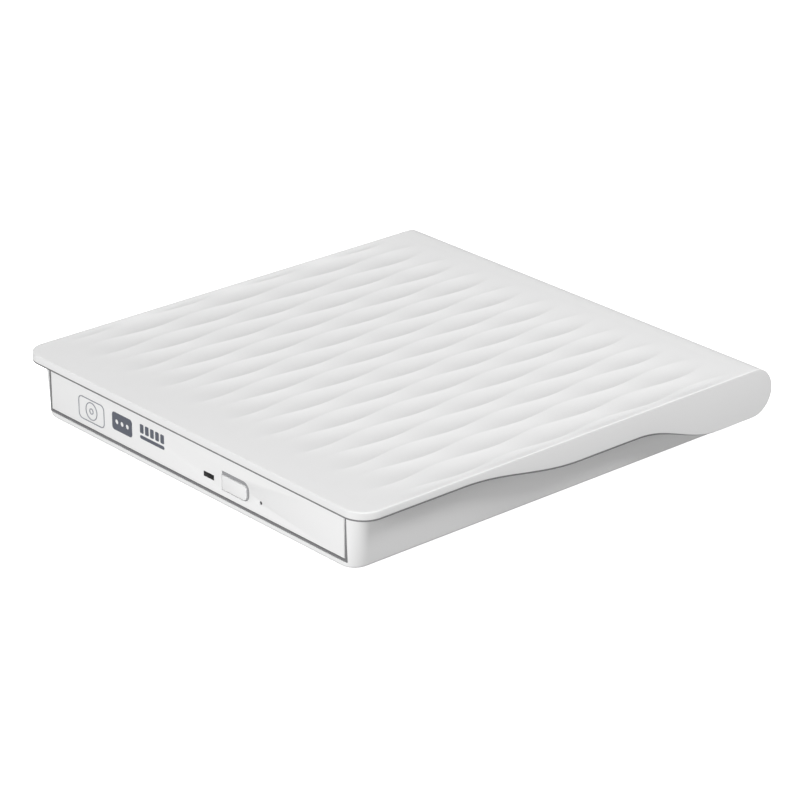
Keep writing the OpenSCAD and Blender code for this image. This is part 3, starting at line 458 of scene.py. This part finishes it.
def crestX(k, y):
    sway = lid["sway"] * math.cos(2 * math.pi * (y - lid["swayCentre"]) / lid["swayLength"])
    return lid["firstCrest"] + lid["pitch"] * k - (-1) ** k * sway


def crestDip(k, y):
    # a crest is low where it sways to the left and high where it sways to the right
    return lid["rise"] * (1 + (-1) ** k * math.cos(2 * math.pi * (y - lid["swayCentre"]) / lid["swayLength"])) / 2


def waveDepth(x, y, strip):
    fade = easeStep((y - lid["fadeIn"][0]) / (lid["fadeIn"][1] - lid["fadeIn"][0]))
    fade *= easeStep((y - lid["fadeOut"][0]) / (lid["fadeOut"][1] - lid["fadeOut"][0]))
    fade *= easeStep((lidHalf(y) - abs(x)) / lid["rimFade"])
    left, right = crestX(strip, y), crestX(strip + 1, y)
    along = min(1.0, max(0.0, (x - left) / (right - left)))
    lift = crestDip(strip, y) * (1 - along) + crestDip(strip + 1, y) * along
    return (max(0.0, (x - left) * (right - x)) / (2 * lid["trough"]) + lift) * fade


def lidHalf(y):
    inset = lid["corner"] - (y - lid["front"])
    return lid["half"] - (lid["corner"] - math.sqrt(lid["corner"] ** 2 - inset ** 2) if inset > 0 else 0.0)


def rimGap(x, y):
    # distance in plan from the lid's front and side rim
    inX, inY = lid["half"] - abs(x), y - lid["front"]
    if inX < lid["corner"] and inY < lid["corner"]:
        return max(0.0, lid["corner"] - math.hypot(lid["corner"] - inX, lid["corner"] - inY))
    return max(0.0, min(inX, inY))


def rollDrop(gap, radius):
    return radius - math.sqrt(radius ** 2 - (radius - gap) ** 2) if gap < radius else 0.0


def sideEdge(y):
    low = lid["lip"]
    for start, end, height in (lid["stepOne"], lid["stepTwo"]):
        low += (height - low) * easeStep((y - start) / (end - start))
    return low


def lidColumns(y):
    # x of each column with its strip number, from the left rim to the right one
    half = lidHalf(y)
    room = lid["half"] - lid["edge"]
    squeeze = (half - lid["edge"]) / room
    knots = [-room] + [crestX(k, y) for k in range(lid["crests"])] + [room]
    counts = [lid["sideColumns"]] + [lid["strip"]] * (lid["crests"] - 1) + [lid["sideColumns"]]
    columns = [(-half + step, -1) for step in rollSteps]
    for strip, (a, b, count) in enumerate(zip(knots, knots[1:], counts)):
        columns += [((a + (b - a) * i / count) * squeeze, strip - 1) for i in range(count)]
    columns.append((room * squeeze, lid["crests"] - 1))
    return columns + [(half - step, lid["crests"] - 1) for step in reversed(rollSteps)]


def makeLid():
    cornerRows = [lid["front"] + lid["corner"] * (1 - math.cos(math.radians(turn)))
                  for turn in range(lid["firstTurn"], 91, lid["cornerStep"])]
    firstRow = lid["front"] + lid["corner"]
    count = round((noseY - firstRow) / lid["rowStep"])
    rows = [lid["front"] + step for step in rollSteps + [lid["edge"]]] + cornerRows
    rows += [firstRow + (noseY - firstRow) * i / count for i in range(1, count + 1)]
    noseTurns = [90 - 90 * i / lid["noseRows"] for i in range(1, lid["noseRows"] + 1)]
    nx, ny = len(lidColumns(noseY)) - 1, len(rows) + len(noseTurns) - 1
    clearBench()
    bpy.ops.mesh.primitive_grid_add(x_subdivisions=nx, y_subdivisions=ny, size=1)
    piece = settle("lidShell")
    bpy.ops.object.mode_set(mode="EDIT")
    bpy.ops.mesh.select_all(action="SELECT")
    bpy.ops.mesh.extrude_region_move(TRANSFORM_OT_translate={"value": (0, 0, -1)})
    bpy.ops.object.mode_set(mode="OBJECT")
    table = {}
    for j in range(ny + 1):
        flat = j < len(rows)
        for i, (x, strip) in enumerate(lidColumns(rows[j] if flat else noseY)):
            if flat:
                y = rows[j]
                gap = rimGap(x, y)
                top = lid["top"] - waveDepth(x, y, strip) - rollDrop(gap, lid["edge"])
                table[i, j] = place(x, y, top), place(x, y, sideEdge(y) + rollDrop(gap, lid["underEdge"]))
            else:
                turn = math.radians(noseTurns[j - len(rows)])
                reach = lid["nose"] - rollDrop(lid["half"] - abs(x), lid["edge"])
                y, rise = noseY + reach * math.cos(turn), reach * math.sin(turn)
                table[i, j] = place(x, y, noseZ + rise), place(x, y, noseZ - rise)
    for corner in piece.data.vertices:
        i, j = round((corner.co.x + 0.5) * nx), round((corner.co.y + 0.5) * ny)
        corner.co = table[i, j][0 if corner.co.z > -0.5 else 1]
    return tidyMesh(piece, 0.001)


draft = {"half": 69.3, "height": 16.3, "taper": 1.9}  # the case's half width at its top, and how much is lost below


def addDraftedBody(name, grow, z0, z1, y0, y1, corner, foot=0.0, steps=10):
    # the case's body, narrower at the bottom, with round corners in plan
    def halfAt(z):
        return draft["half"] - draft["taper"] * (draft["height"] - z) / draft["height"] + grow
    piece = addBlock(name, (-halfAt(z1), halfAt(z1)), (y0, y1), (z0, z1))
    pickFaces(piece, lambda centre, normal: normal.z < -0.9)
    bpy.ops.transform.resize(value=(halfAt(z0) / halfAt(z1), 1, 1), center_override=place(0, (y0 + y1) / 2, z0))
    bpy.ops.object.mode_set(mode="OBJECT")
    pickEdges(piece, lambda a, b: abs(a.z - b.z) > 1)
    roundPicked(corner, steps)
    if foot:
        pickEdges(piece, lambda a, b: max(a.z, b.z) < z0 + 0.01)
        roundPicked(foot, 5)
    return piece


lidShell = makeLid()
underSpace = addDraftedBody("underSpace", 0.2, -1.0, lid["lip"], -10.0, 141.7, 5.0, steps=12)
# the hollow starts where the falling side edge leaves room for a wall under the top
startTurn = math.acos(1 - 2 * (lid["wall"] * 2 - 2.25) / 5.0) / math.pi
(oneStart, oneEnd, _), (twoStart, twoEnd, _) = lid["stepOne"], lid["stepTwo"]
hollowSide = [(y, sideEdge(y) + lid["wall"]) for y in
              [oneStart + (oneEnd - oneStart) * (startTurn + (1 - startTurn) * i / 10) for i in range(11)]
              + [twoStart + (twoEnd - twoStart) * i / 16 for i in range(17)]]
hollowSide += arcPoints((noseY, noseZ), lid["nose"] - lid["wall"], -90, 90, 20)
hollow = addPrism("hollow", hollowSide, "yz", lid["wall"] - lid["half"], lid["half"] - lid["wall"])
portHalf, portDeep, portRise = lid["portBlock"]
cut(hollow, addBlock("portBlock", (-portHalf, portHalf), (lid["portBack"] - portDeep, lid["pastBack"]),
                     (noseZ - portRise, noseZ + portRise)))
bossRadius, bossFoot = lid["boss"]
for x in (-lid["screwX"], lid["screwX"]):
    for space in (hollow, underSpace):
        cut(space, addRod("boss", bossRadius, (x, lid["screwY"], bossFoot), (x, lid["screwY"], lid["pastTop"])))
mouth = addPrism("mouth", roundSlab(*lid["mouth"], 10, (0, noseZ)), "xz", lid["pastBack"], lid["portBack"])
throat = addPrism("throat", roundSlab(*lid["throat"], 10, (0, noseZ)), "xz", lid["pastBack"],
                  lid["portBack"] - lid["throatDepth"])
cut(lidShell, underSpace, hollow, mouth, throat)
holeRadius, holeDepth = lid["bossHole"]
for x in (-lid["screwX"], lid["screwX"]):
    cut(lidShell, addRod("bossHole", holeRadius, (x, lid["screwY"], 0), (x, lid["screwY"], holeDepth), 24))
hold(lidShell)
bpy.ops.object.shade_smooth_by_angle(angle=math.radians(32))
corners = lidShell.data.vertices
for edge in lidShell.data.edges:
    a, b = (drawn(corners[i].co) for i in edge.vertices)
    lengthways = abs(a.y - b.y) > 0.4 and lid["creased"][0] < a.y < lid["creased"][1]
    if lengthways and min(a.z, b.z) > lid["creaseHeight"]:
        k = round((a.x - lid["firstCrest"]) / lid["pitch"])
        if 0 <= k < lid["crests"] and abs(a.x - crestX(k, a.y)) < 0.01 and abs(b.x - crestX(k, b.y)) < 0.01:
            edge.use_edge_sharp = True
fit(lidShell, "case", "shell_white", finishes["shell_white"], "top_cover", keepSharp=True)
print("stage: lid", len(lidShell.data.polygons))


# Dark strip under the lid's edge, along both sides and the front: painted shade for the shadow line between lid and
# case
# "side" and "corner" are the steps along each side and round each front corner
shadeStrip = {"in": 0.08, "drop": 0.42, "up": 0.3, "thick": 0.5, "fade": 100.0, "end": 127.0, "side": 110, "corner": 10}


def shadeStripPath():
    half, corner = lid["half"] - shadeStrip["in"], lid["corner"] - shadeStrip["in"]
    start = lid["front"] + lid["corner"]
    side = [(half, start + (shadeStrip["end"] - start) * i / shadeStrip["side"]) for i in range(shadeStrip["side"], 0, -1)]
    bend = arcPoints((half - corner, start), corner, 0, -90, shadeStrip["corner"])
    right = side + bend
    return right + [(-x, y) for x, y in reversed(right)]


path = shadeStripPath()
clearBench()
bpy.ops.mesh.primitive_grid_add(x_subdivisions=len(path) - 1, y_subdivisions=1, size=1)
lidShadeStrip = settle("lidShadeStrip")
for corner in lidShadeStrip.data.vertices:
    x, y = path[round((corner.co.x + 0.5) * (len(path) - 1))]
    taper = 1 - easeStep((y - shadeStrip["fade"]) / (shadeStrip["end"] - shadeStrip["fade"]))
    corner.co = place(x, y, sideEdge(y) + (shadeStrip["up"] if corner.co.y > 0 else -shadeStrip["drop"] * taper))
shape(lidShadeStrip, "SOLIDIFY", thickness=shadeStrip["thick"] * mm, offset=1.0)
tidyMesh(lidShadeStrip)
fit(lidShadeStrip, "case", "foot_rubber", finishes["foot_rubber"])


# Case: drafted tub with a window for the drive
case = {
    "floor": 1.8, "top": 16.3, "depth": 141.5, "wall": 1.8, "rim": 2.6, "corner": 4.8, "innerCorner": 3.0,
    "foot": 1.0, "openHalf": 64.9, "openTop": 18.0, "soft": 0.16,
    "feet": [(-56.0, 14.0), (55.0, 14.0), (-56.0, 127.5), (55.0, 127.5)], "footSeat": (5.1, 0.5),
    "driveScrews": [(x, y) for x in (-48.0, 48.0) for y in (22.0, 93.2)],
    "boardScrews": [(-20.5, 135.5), (20.5, 135.5)], "lidScrews": [(-58.0, 135.5), (58.0, 135.5)],
    "boardFloor": 8.645, "backSlot": (26.0, 7.445),  # half width and foot of the slot for the socket
    "driveBoss": (4.0, 1.6, 2.7), "boardBoss": (2.1, 1.6), "head": (2.2, 0.9), "shank": (1.0, 4.0),
    "pilot": (0.8, 4.6, 10.0), "label": (62.0, 34.0, 2.0, 12.0, 0.25),  # size, corner, place, depth
}
caseTub = addDraftedBody("caseTub", 0.0, 0.0, case["top"], 0.0, case["depth"], case["corner"], case["foot"])
cavity = addDraftedBody("cavity", -case["wall"], case["floor"], case["openTop"], case["rim"],
                        case["depth"] - case["wall"], case["innerCorner"])
window = addBlock("window", (-case["openHalf"], case["openHalf"]), (-1, case["rim"] + 8),
                  (case["floor"], case["openTop"]))
slotHalf, slotFoot = case["backSlot"]
backSlot = addBlock("backSlot", (-slotHalf, slotHalf), (case["depth"] - 4, case["depth"] + 1),
                    (slotFoot, case["openTop"]))
cut(caseTub, cavity, window, backSlot)


def addAtEach(spots, name, radius, low, high, sides=48, operation="DIFFERENCE"):
    for x, y in spots:
        cut(caseTub, addRod(name, radius, (x, y, low), (x, y, high), sides), operation=operation)


bossRadius, bossLow, bossHigh = case["driveBoss"]
addAtEach(case["driveScrews"], "boss", bossRadius, bossLow, bossHigh, operation="UNION")
addAtEach(case["boardScrews"], "boss", *case["boardBoss"], case["boardFloor"], operation="UNION")
addAtEach(case["feet"], "seat", case["footSeat"][0], -1, case["footSeat"][1], 64)
for x, y in case["driveScrews"] + case["lidScrews"]:
    addAtEach([(x, y)], "head", case["head"][0], -1, case["head"][1])
    addAtEach([(x, y)], "shank", case["shank"][0], 0, case["shank"][1], 24)
addAtEach(case["boardScrews"], "pilot", *case["pilot"], 24)
labelWide, labelDeep, labelCorner, labelShift, labelSink = case["label"]
cut(caseTub, addPrism("labelSeat", roundSlab(labelWide, labelDeep, labelCorner, 8,
                                             (0, case["depth"] / 2 + labelShift)), "xy", -1, labelSink))
tidyMesh(caseTub)
soften(caseTub, case["soft"], 2, 40)
fit(caseTub, "case", "shell_white", finishes["shell_white"], "bottom_case", angle=28)
print("stage: case", len(caseTub.data.polygons))


# Rubber feet, dished underneath
footShape = {"radius": 5.0, "low": -1.2, "high": 0.5, "edge": 0.4, "dishRim": 0.9, "dish": 0.15}
pads = []
for x, y in case["feet"]:
    pad = addRod("footPad", footShape["radius"], (x, y, footShape["low"]), (x, y, footShape["high"]), 64)
    pickFaces(pad, lambda centre, normal: normal.z < -0.9)
    bpy.ops.mesh.inset(thickness=footShape["dishRim"] * mm)
    bpy.ops.mesh.extrude_region_move(TRANSFORM_OT_translate={"value": (0, 0, footShape["dish"] * mm)})
    bpy.ops.object.mode_set(mode="OBJECT")
    soften(pad, footShape["edge"], 3, 60)
    pads.append(pad)
footPads = join(*pads)
footPads.name = footPads.data.name = "footPads"
fit(footPads, "case", "foot_rubber", finishes["foot_rubber"], "rubber_feet")


# Tray front and eject button
front = {
    "half": 64.0, "low": 2.7, "high": 15.4, "depth": 4.0, "skin": 2.2, "edge": 1.0, "round": 0.35, "soft": 0.08,
    "button": (13.75, 4.83, 10.3, 4.3, 1.2),  # left, foot, width, height, corner
    "gap": 0.25, "relief": 1.25,  # round the button: to the left and down, to the right and up
    "keyFace": -0.1, "keyBack": 2.3, "keySoft": 0.22, "flange": (0.5, 2.9), "stem": (18.9, 6.88, 1.0, 2.8, 7.2),
    "lamp": (8.0, 6.88, 4.4, 1.5), "lampFit": 0.02, "pin": (30.2, 6.58, 0.55),
}


def buttonOutline(grow, far):
    # grown by one gap to the left and down, and by another to the right and up
    x, z, width, height, radius = front["button"]
    right, top, radius = x + width + far, z + height + far, radius + far
    return [(x - grow, top), (x - grow, z - grow)] + arcPoints((right - radius, z - grow + radius), radius, -90, 0, 8) \
        + arcPoints((right - radius, top - radius), radius, 0, 90, 8)


trayFront = addBlock("trayFront", (-front["half"], front["half"]), (0, front["depth"]), (front["low"], front["high"]))
pickEdges(trayFront, lambda a, b: max(a.y, b.y) < 0.01)
roundPicked(front["round"], 4)
pocket = addBlock("pocket", (front["edge"] - front["half"], front["half"] - front["edge"]),
                  (front["skin"], front["depth"] + 1), (front["low"] + front["edge"], front["high"] - front["edge"]))
keyHole = addPrism("keyHole", buttonOutline(front["gap"], front["relief"]), "xz", -1, front["depth"] + 1)
lampX, lampZ, lampW, lampH = front["lamp"]
lampReach, lampRise = lampW / 2 + front["lampFit"], lampH / 2 + front["lampFit"]
lampHole = addBlock("lampHole", (lampX - lampReach, lampX + lampReach), (-1, front["depth"] + 1),
                    (lampZ - lampRise, lampZ + lampRise))
pinX, pinZ, pinR = front["pin"]
pinHole = addRod("pinHole", pinR, (pinX, -1, pinZ), (pinX, front["depth"] + 1, pinZ), 32)
cut(trayFront, pocket, keyHole, lampHole, pinHole)
tidyMesh(trayFront)
soften(trayFront, front["soft"], 2, 50)
fit(trayFront, "tray", "bezel_white", finishes["bezel_white"], "bezel")

ejectKey = addPrism("ejectKey", buttonOutline(0.0, 0.0), "xz", front["keyFace"], front["keyBack"])
soften(ejectKey, front["keySoft"], 3, 50)
lip, flangeBack = front["flange"]
flange = addPrism("flange", buttonOutline(lip, front["relief"] + lip), "xz", front["keyBack"], flangeBack)
stemX, stemZ, stemRadius, stemStart, stemEnd = front["stem"]
stem = addRod("stem", stemRadius, (stemX, stemStart, stemZ), (stemX, stemEnd, stemZ), 32)
cut(ejectKey, flange, stem, operation="UNION")
fit(ejectKey, "button", "bezel_white", finishes["bezel_white"], "eject_button")

# Grey linings as painted shade: one lines the case's mouth, where the groove's shade falls, one fills the gap round the
# button, where its shade falls
shadeLining = {
    "back": 3.6, "set": 0.22, "mouth": (64.9, 1.8, 16.3), "clear": 0.2, "soft": 0.06,
    "keySet": 0.32, "keyClear": 0.06, "sleeve": (0.02, 0.16, 0.12, 2.1),  # sleeve: overlap, wall, front, back
}
shadeLiningHalf, shadeLiningLow, shadeLiningHigh = shadeLining["mouth"]
mouthShadeLining = addBlock("mouthShadeLining", (-shadeLiningHalf, shadeLiningHalf), (shadeLining["set"], shadeLining["back"]), (shadeLiningLow, shadeLiningHigh))
cut(mouthShadeLining, addBlock("passage", (-front["half"] - shadeLining["clear"], front["half"] + shadeLining["clear"]),
                        (-1, shadeLining["back"] + 1), (front["low"] - shadeLining["clear"], shadeLiningHigh + 1)))
soften(mouthShadeLining, shadeLining["soft"], 2, 50)
fit(mouthShadeLining, "case", "foot_rubber", finishes["foot_rubber"])
keyShadeLining = addPrism("keyShadeLining", buttonOutline(front["gap"], front["relief"]), "xz", shadeLining["keySet"], front["skin"])
cut(keyShadeLining, addPrism("passage", buttonOutline(shadeLining["keyClear"], shadeLining["keyClear"]), "xz", -1, front["depth"]))
fit(keyShadeLining, "tray", "guide_grey", finishes["guide_grey"])
# a dark grey sleeve in the pin hole: painted shade for the hole's inside
bite, sleeveWall, sleeveFront, sleeveBack = shadeLining["sleeve"]
pinShadeSleeve = addRod("pinShadeSleeve", pinR + bite, (pinX, sleeveFront, pinZ), (pinX, sleeveBack, pinZ), 32)
cut(pinShadeSleeve, addRod("bore", pinR - sleeveWall, (pinX, -1, pinZ), (pinX, 3, pinZ), 32))
fit(pinShadeSleeve, "tray", "foot_rubber", finishes["foot_rubber"])
print("stage: front")


# The rest of the drive and the electronics are softened copies of the frame parts
softEdges = {  # node: edge radius in mm
    "drive_pan": 0.08, "drive_cover": 0.08, "rail_guide_left": 0.12, "rail_guide_right": 0.12, "rail_left": 0.12,
    "rail_right": 0.12, "deck_plate": 0.05, "tray_bottom": 0.05, "deck_screws": 0.05, "traverse_frame": 0.1,
    "dampers": 0.15, "rotor": 0.15, "hub_ring": 0.04, "sled": 0.15, "lens_holder": 0.12, "feed_nut": 0.1,
    "rod_clamps": 0.1, "feed_motor": 0.2, "guide_rods": 0.15, "usb_shell": 0.04, "usb_tongue": 0.06,
    "case_screws": 0.08, "drive_screws": 0.08, "damper_screws": 0.06, "label_plate": 0.03, "latch_hook": 0.08,
    "tray_board": 0.05, "eject_switch": 0.1, "solenoid": 0.12, "bridge_board": 0.05, "board_socket": 0.1,
    "drive_plug": 0.1, "drive_board": 0.05, "drive_chips": 0.06, "bridge_chips": 0.05, "light_window": 0.08,
    "actuator_magnets": 0.06, "tray_socket": 0.05, "flex_socket": 0.05,
}
for node, width in softEdges.items():
    dressCopy(node, node.replace("_", ""), width)
print("stage: softened parts")

spindle = {
    "y": 65.6, "deck": 9.58,
    "ring": (39.9, 40.7, 0.25), "traySoft": 0.22,  # groove of the 80 mm disc recess: radii and depth
    "balls": (225, 345, 105), "slitTurn": 17, "slitMiddle": 6.95, "slit": (2.1, 0.2, 10.9, 14.0), "hubSoft": 0.12,
}
discTray = dressCopy("tray_frame", "discTray", 0.0)
innerRadius, outerRadius, sink = spindle["ring"]
spindleY, deck = spindle["y"], spindle["deck"]
ring = addRod("ring", outerRadius, (0, spindleY, deck - sink), (0, spindleY, deck + 1), 128)
core = addRod("core", innerRadius, (0, spindleY, deck - 1), (0, spindleY, deck + 2), 128)
cut(ring, core)
cut(discTray, ring)
tidyMesh(discTray)
soften(discTray, spindle["traySoft"], 2, 35)
fit(discTray, "tray", "tray_black", finishes["tray_black"])

hubCap = dressCopy("turntable", "hubCap", 0.0)
slitReach, slitHalf, slitLow, slitHigh = spindle["slit"]
for ball in spindle["balls"]:
    for offset in (-spindle["slitTurn"], spindle["slitTurn"]):  # a slit on each side of each ball
        turn = math.radians(ball + offset)
        slit = addBlock("slit", (-slitReach, slitReach), (-slitHalf, slitHalf), (slitLow, slitHigh))
        slit.data.transform(Matrix.Translation(-place(0, 0, 0)))
        slit.data.transform(Matrix.Rotation(turn, 4, "Z"))
        slit.data.transform(Matrix.Translation(place(spindle["slitMiddle"] * math.cos(turn),
                                                     spindleY + spindle["slitMiddle"] * math.sin(turn), 0)))
        cut(hubCap, slit)
soften(hubCap, spindle["hubSoft"], 2, 35)
fit(hubCap, "spindle", "hub_black", finishes["hub_black"])

# Flat cable: a fold from the drive's board at one end towards the tray at the other, in one fixed shape
cable = {"x": (-49.0, -23.0), "root": 99.6, "bend": 86.0, "end": 90.0, "low": 5.18, "high": 7.48, "thick": 0.2,
         "blendIn": 0.25}
reach = (cable["high"] - cable["low"]) / 2
centre = (cable["bend"], cable["low"] + reach)
outer = [(cable["root"], cable["low"])] + arcPoints(centre, reach, -90, -270, 32) + [(cable["end"], cable["high"])]
inner = [(cable["end"], cable["high"] - cable["thick"])]
inner += arcPoints(centre, reach - cable["thick"], -270, -90, 32)
inner.append((cable["root"], cable["low"] + cable["thick"]))
flatCable = addPrism("flatCable", outer + inner, "yz", *cable["x"])
hold(flatCable)
bpy.ops.object.shade_smooth_by_angle(angle=math.radians(30))
flatCable.data.materials.append(finishes["flex_white"])
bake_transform(flatCable)
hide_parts("flex_cable")
print("stage: drive")


# Floor, lights, camera
view = {"place": (0.66017, -0.57588, 0.38773), "tilt": 66.48, "turn": 48.83, "lens": 151.66}
clearBench()
bpy.ops.mesh.primitive_plane_add(size=8, location=(0, 0, 0))
floor = settle("studioFloor")
paper = bpy.data.materials.new("palePaper")
paper.use_nodes = True
paperNodes, paperLinks = paper.node_tree.nodes, paper.node_tree.links
paperShader = paperNodes["Principled BSDF"]
paperShader.inputs["Base Color"].default_value = (0.8, 0.8, 0.8, 1)
paperShader.inputs["Roughness"].default_value = 0.9
paperShader.inputs["Emission Color"].default_value = (1, 1, 1, 1)
paperShader.inputs["Emission Strength"].default_value = 1.0
clear = paperNodes.new("ShaderNodeBsdfTransparent")
seen = paperNodes.new("ShaderNodeLightPath")
side = paperNodes.new("ShaderNodeNewGeometry")
above = paperNodes.new("ShaderNodeMath")
above.operation = "SUBTRACT"
above.use_clamp = True
blendPaper = paperNodes.new("ShaderNodeMixShader")
paperLinks.new(seen.outputs["Is Camera Ray"], above.inputs[0])
paperLinks.new(side.outputs["Backfacing"], above.inputs[1])
paperLinks.new(above.outputs["Value"], blendPaper.inputs["Fac"])
paperLinks.new(clear.outputs["BSDF"], blendPaper.inputs[1])
paperLinks.new(paperShader.outputs["BSDF"], blendPaper.inputs[2])
paperLinks.new(blendPaper.outputs["Shader"], paperNodes["Material Output"].inputs["Surface"])
floor.data.materials.append(paper)

lights = [  # name, direction from the object (turn from +X towards +Y, height), distance, size, power
    ("highSoft", 46.0, 48.0, 1.7, 0.6, 17.5),
    ("frontSoft", -79.0, 18.0, 2.0, 0.9, 29.0),
    ("sideSoft", -24.0, 8.0, 2.2, 0.9, 6.5),
]
for name, turn, height, distance, size, power in lights:
    turn, height = math.radians(turn), math.radians(height)
    toward = Vector((math.cos(turn) * math.cos(height), math.sin(turn) * math.cos(height), math.sin(height)))
    clearBench()
    bpy.ops.object.light_add(type="AREA", location=toward * distance,
                             rotation=toward.to_track_quat("Z", "Y").to_euler())
    softBox = bpy.context.object
    softBox.name = name
    softBox.data.shape = "DISK"
    softBox.data.size = size
    softBox.data.energy = power

room = {"low": 0.25, "high": 0.44, "ground": 0.4}  # light from the horizon, from overhead and from below
world = bpy.data.worlds.new("whiteRoom")
bpy.context.scene.world = world
world.use_nodes = True
worldNodes, worldLinks = world.node_tree.nodes, world.node_tree.links
spot = worldNodes.new("ShaderNodeTexCoord")
axes = worldNodes.new("ShaderNodeSeparateXYZ")
climb = worldNodes.new("ShaderNodeMapRange")
climb.inputs["To Min"].default_value, climb.inputs["To Max"].default_value = room["low"], room["high"]
seen = worldNodes.new("ShaderNodeLightPath")
level = worldNodes.new("ShaderNodeMix")
level.inputs["B"].default_value = 1.0
worldLinks.new(spot.outputs["Generated"], axes.inputs["Vector"])
worldLinks.new(axes.outputs["Z"], climb.inputs["Value"])
worldLinks.new(seen.outputs["Is Camera Ray"], level.inputs["Factor"])
below = worldNodes.new("ShaderNodeMath")
below.operation = "LESS_THAN"
below.inputs[1].default_value = 0.0
ground = worldNodes.new("ShaderNodeMix")
ground.inputs["B"].default_value = room["ground"]
worldLinks.new(axes.outputs["Z"], below.inputs[0])
worldLinks.new(below.outputs["Value"], ground.inputs["Factor"])
worldLinks.new(climb.outputs["Result"], ground.inputs["A"])
worldLinks.new(ground.outputs["Result"], level.inputs["A"])
worldLinks.new(level.outputs["Result"], worldNodes["Background"].inputs["Strength"])
worldNodes["Background"].inputs["Color"].default_value = (1, 1, 1, 1)

clearBench()
bpy.ops.object.camera_add(location=view["place"],
                          rotation=(math.radians(view["tilt"]), 0, math.radians(view["turn"])))
camera = bpy.context.object
camera.name = "productView"
camera.data.lens = view["lens"]
camera.data.sensor_width = 36
camera.data.clip_start, camera.data.clip_end = 0.01, 30
bpy.context.scene.camera = camera
bpy.context.scene.view_settings.view_transform = "Standard"
print("stage: set")
